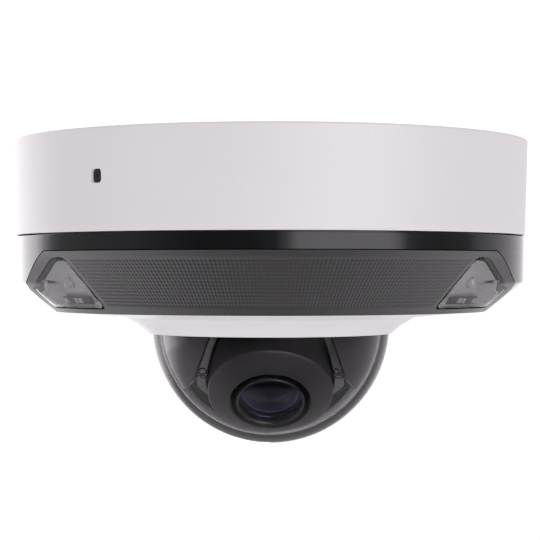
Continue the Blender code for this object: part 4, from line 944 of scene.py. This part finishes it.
def chin():
    """A skin on a sphere about the tilt axis, below and behind the rim: one parameter runs
    across between two flat sides, the other round under the head from the rim to the back."""
    across = np.linspace(-CHIN_HALF, CHIN_HALF, 50)[None, :]
    belt = np.sqrt(CHIN_RADIUS ** 2 - across ** 2)
    front = np.degrees(np.arccos(np.clip((HEAD_FRONT - 0.6) / belt, -1.0, 1.0)))
    share = np.linspace(0.0, 1.0, 60)[:, None]
    angle = np.radians(front + (CHIN_BACK - front) * share)
    return leaned(np.stack([across + 0.0 * angle, belt * np.sin(angle),
                            -belt * np.cos(angle)], axis=-1))


surface("head_chin_shell", [chin()], CHIN_BLACK, "tilt", wall=1.0, edge=0.15)

rear = [(0.0, 11.5), (14.6, 11.5), (16.6, 9.5), (16.6, 4.5), (14.8, 4.5), (14.8, 9.5),
        (13.2, 10.0), (0.0, 10.0)]
rear_round = np.vstack([rear[:1], eased(rear, 0.5)[5:-5], rear[-1:]])
surface("head_rear_dish", [leaned(turned_grid(rear_round, 96))], GIMBAL_BLACK, "tilt",
        ["head_rear_cover"], closed=True)


def stroke(path, width):
    """A flat ribbon along a closed or open path of (across, up) points: both edges lie half
    a width to the side, along the path's normal."""
    along = np.gradient(path, axis=0)
    along /= np.linalg.norm(along, axis=1, keepdims=True)
    normal = np.stack([-along[:, 1], along[:, 0]], axis=-1) * width / 2
    return np.stack([path - normal, path + normal])


def digit_strokes():
    """The figures 9 and 0 in a unit box: the nought is a tall oval; the nine is a smaller
    oval over a tail that curves down from its right side."""
    turn = np.linspace(0.0, 2 * np.pi, 41)
    nought = np.stack([0.30 * np.cos(turn), 0.5 * np.sin(turn)], axis=-1)
    bowl = np.stack([0.29 * np.cos(turn), 0.21 + 0.29 * np.sin(turn)], axis=-1)
    bend = np.linspace(0.0, -0.62 * np.pi, 16)
    tail = np.stack([0.29 * np.cos(bend), -0.18 + 0.32 * np.sin(bend)], axis=-1)
    tail = np.vstack([[(0.29, 0.21)], tail])
    return [nought + (0.42, 0.0), bowl - (0.42, 0.0), tail - (0.42, 0.0)]


def angle_mark(side):
    """The mark lies on the rim: a figure's height runs along the rim's radius, its width
    along the circle, so that it reads upwards on the left and downwards on the right."""
    grids = []
    for line in digit_strokes():
        ribbon = stroke(line * MARK_HEIGHT, MARK_STROKE)
        radius = MARK_RADIUS - ribbon[..., 1]
        azimuth = side * MARK_AZIMUTH + np.degrees(ribbon[..., 0] / MARK_RADIUS)
        flat = ring_points(radius, azimuth, -rim_depth(radius, azimuth) - 0.13)
        grids.append(leaned(flat))
    return grids


def dial_band(side):
    """A thin skin on the rim's front face, from just over the cut up towards the top: evenly
    spaced columns above the cut, then two that follow the start of its slope."""
    radius = np.linspace(FACE_RADIUS + 0.6, HEAD_RADIUS - 0.15, 10)[:, None]
    cut = cut_start(radius)
    azimuth = np.concatenate([50.0 + (cut - 50.5) * np.linspace(0.0, 1.0, 40), cut + 0.3,
                              cut + 0.8], axis=1) * side
    level = -rim_depth(radius, azimuth) - 0.06
    return leaned(ring_points(radius, azimuth, level))


for side, word in ((-1, "left"), (1, "right")):
    surface(f"dial_band_{word}", [dial_band(side)], DIAL_SATIN, "tilt",
            wall=0.04)
    surface(f"angle_mark_{word}", angle_mark(side), MARK_BLACK, "tilt",
            wall=0.04)


# ---------------------------------------------------------------- face and lens
# The face is a domed cap of satin plastic round the lens, on its own skirt inside the head
# ring. The lens stands in its hole: an anodised front ring, coated front glass, a black
# barrel with stop rings, a violet ring whose colour is a painted reflection standing for the
# coating's bloom, and an inner element.

FACE_SATIN = finish_of("face_satin_black", (0.044, 0.0425, 0.0445), 0.36, grain=0.004,
                       grain_size=0.12, wear=0.06)
RING_BLACK = finish_of("lens_ring_black", (0.02, 0.0205, 0.022), 0.24, grain=0.002,
                       grain_size=0.1, coat=0.3)
# Painted reflection: a violet colour that stands for the coloured bloom that the lens coating
# reflects.
PAINTED_BLOOM_REFLECTION = finish_of("painted_bloom_reflection", (0.05, 0.05, 0.5), 0.25, metallic=0.4, coat=0.6)
LENS_HOLE, LENS_RADIUS, LENS_FRONT = 9.1, 7.85, 24.6


def face_outline():
    """The ball from the lens hole to the crease, the skirt, the flange and the inner side."""
    ball = np.hypot(FACE_RADIUS, FACE_CREASE)
    radius = np.linspace(LENS_HOLE + 0.2, FACE_RADIUS - 0.25, 14)
    dome = np.stack([radius, -np.sqrt(ball ** 2 - radius ** 2)], axis=-1)
    crest = -np.sqrt(ball ** 2 - LENS_HOLE ** 2)
    rest = [(FACE_RADIUS - 0.06, -FACE_CREASE + 0.08), (FACE_RADIUS, -FACE_CREASE + 0.4),
            (FACE_RADIUS, -15.0), (FACE_RADIUS, -9.6), (14.9, -9.5), (14.9, -8.0), (12.9, -8.0),
            (12.9, -20.0), (LENS_HOLE, -22.4), (LENS_HOLE, crest + 0.25),
            (LENS_HOLE + 0.06, crest + 0.05), (LENS_HOLE + 0.2, dome[0, 1])]
    return np.vstack([dome, rest])


surface("face_cap_moulding", [leaned(turned_grid(face_outline(), 144))], FACE_SATIN, "roll",
        ["face_cap"], closed=True, sharp=45.0)

ring_outline = [(7.3, -22.2), (LENS_RADIUS, -22.2), (LENS_RADIUS, -24.3), (7.7, -24.6),
                (7.35, -24.6), (7.25, -24.35), (7.15, -24.35), (7.05, -24.0), (7.3, -24.0)]
surface("lens_front_ring", [leaned(looped(turned_grid(eased(ring_outline, 0.12), 128)))],
        RING_BLACK, "roll", ["lens_ring"], closed=True)


def coated_glass(name, colour, tint):
    """Lens glass: clear, with a bloom of coating colour that shows towards grazing angles."""
    material = finish_of(name, colour, 0.02, wear=0.0, clear=1.0, ior=1.6)
    shader = material.node_tree.nodes["Principled BSDF"]
    shader.inputs["Specular Tint"].default_value = (*tint, 1.0)
    return material


GLASS_FRONT = coated_glass("lens_glass", (0.8, 0.79, 0.82), (0.42, 0.38, 0.6))
GLASS_INNER = coated_glass("lens_glass_inner", (0.3, 0.28, 0.27), (0.9, 0.8, 0.7))


def lens_element(radius, front, back, crown, dish):
    """A lens turned about the axis: a front sphere cap of a given rise, a short edge, and a
    back cap."""
    out = np.linspace(0.0, 1.0, 14)
    face = np.stack([radius * out, -(front + crown * (1.0 - out ** 2))], axis=-1)
    rear_face = np.stack([radius * out, -(back - dish * (1.0 - out ** 2))], axis=-1)[::-1]
    return np.vstack([face, rear_face])


surface("front_element", [leaned(turned_grid(lens_element(7.0, 23.0, 22.3, 1.0, 0.0), 96))],
        GLASS_FRONT, "roll", ["front_glass"], closed=True)
surface("inner_element", [leaned(turned_grid(lens_element(5.2, 16.6, 16.0, 0.8, 0.8), 96))],
        GLASS_INNER, "roll", ["inner_lens"], closed=True)


def barrel_outline():
    """The barrel's outside is plain; inside it steps in, by three stop rings, to the iris."""
    steps = [(7.1, -21.9), (6.7, -21.9), (6.2, -20.6), (5.8, -20.6), (5.6, -18.6),
             (5.3, -18.6), (5.3, -15.6), (4.1, -15.6), (4.1, -14.4), (2.2, -14.2), (2.2, -13.6),
             (5.0, -13.6), (5.6, -5.4), (7.1, -5.4)]
    return eased(steps, 0.12, 3)


surface("barrel_turning", [leaned(looped(turned_grid(barrel_outline(), 96)))], GIMBAL_BLACK,
        "roll", ["lens_barrel"], closed=True)
# A thin violet ring inside the barrel; its colour is a painted reflection of the coating's bloom,
# not a real part.
bloom = [(5.75, -20.65), (6.15, -20.65), (6.2, -20.95), (5.8, -20.95)]
surface("painted_bloom_ring", [leaned(looped(turned_grid(eased(bloom, 0.06, 3), 96)))],
        PAINTED_BLOOM_REFLECTION, "roll", closed=True)
holder = [(5.6, -3.9), (9.0, -3.9), (9.0, -6.5), (12.6, -6.5), (12.6, -8.0), (9.0, -8.0),
          (9.0, -14.0), (7.4, -14.0), (7.4, -5.1), (5.6, -5.1)]
surface("holder_moulding", [leaned(looped(turned_grid(eased(holder, 0.2, 3), 96)))],
        GIMBAL_BLACK, "roll", ["lens_holder"], closed=True)


# ---------------------------------------------------------------- plain parts
# The plate, screws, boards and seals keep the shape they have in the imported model. Each
# kind takes its own worked or moulded finish.

RUBBER_SOFT = finish_of("grommet_rubber", (0.035, 0.035, 0.036), 0.7, grain=0.01,
                        grain_size=0.3, wear=0.12)
PLAIN_FINISHES = {
    "plate_steel": finish_of("plate_steel", (0.56, 0.56, 0.57), 0.36, metallic=0.9,
                             grain=0.004, grain_size=1.2, wear=0.06),
    "screw_steel": finish_of("screw_steel", (0.6, 0.6, 0.61), 0.28, metallic=1.0,
                             grain=0.002, grain_size=0.2),
    "seal_rubber": finish_of("seal_rubber", (0.02, 0.02, 0.021), 0.75, grain=0.01,
                             grain_size=0.3, wear=0.15),
    "grommet_rubber": RUBBER_SOFT,
    "button_rubber": RUBBER_SOFT,
    "jack_black": finish_of("jack_black", (0.015, 0.015, 0.016), 0.45, grain=0.005),
    "chip_black": finish_of("chip_black", (0.02, 0.02, 0.022), 0.5, grain=0.005,
                            grain_size=0.1),
    "board_green": finish_of("board_green", (0.015, 0.09, 0.04), 0.35, grain=0.004,
                             grain_size=0.8, wear=0.12),
    "sink_aluminium": finish_of("sink_aluminium", (0.66, 0.66, 0.68), 0.34, metallic=1.0,
                                grain=0.003, grain_size=0.2),
    "socket_steel": finish_of("socket_steel", (0.6, 0.6, 0.61), 0.25, metallic=1.0)}
for part in frame["record"]["subparts"]:
    node = frame["nodes"][part["node"]]
    finish = PLAIN_FINISHES.get(part["material_slot"])
    if finish is not None and not node.hide_render:
        node.data.materials.clear()
        node.data.materials.append(finish)
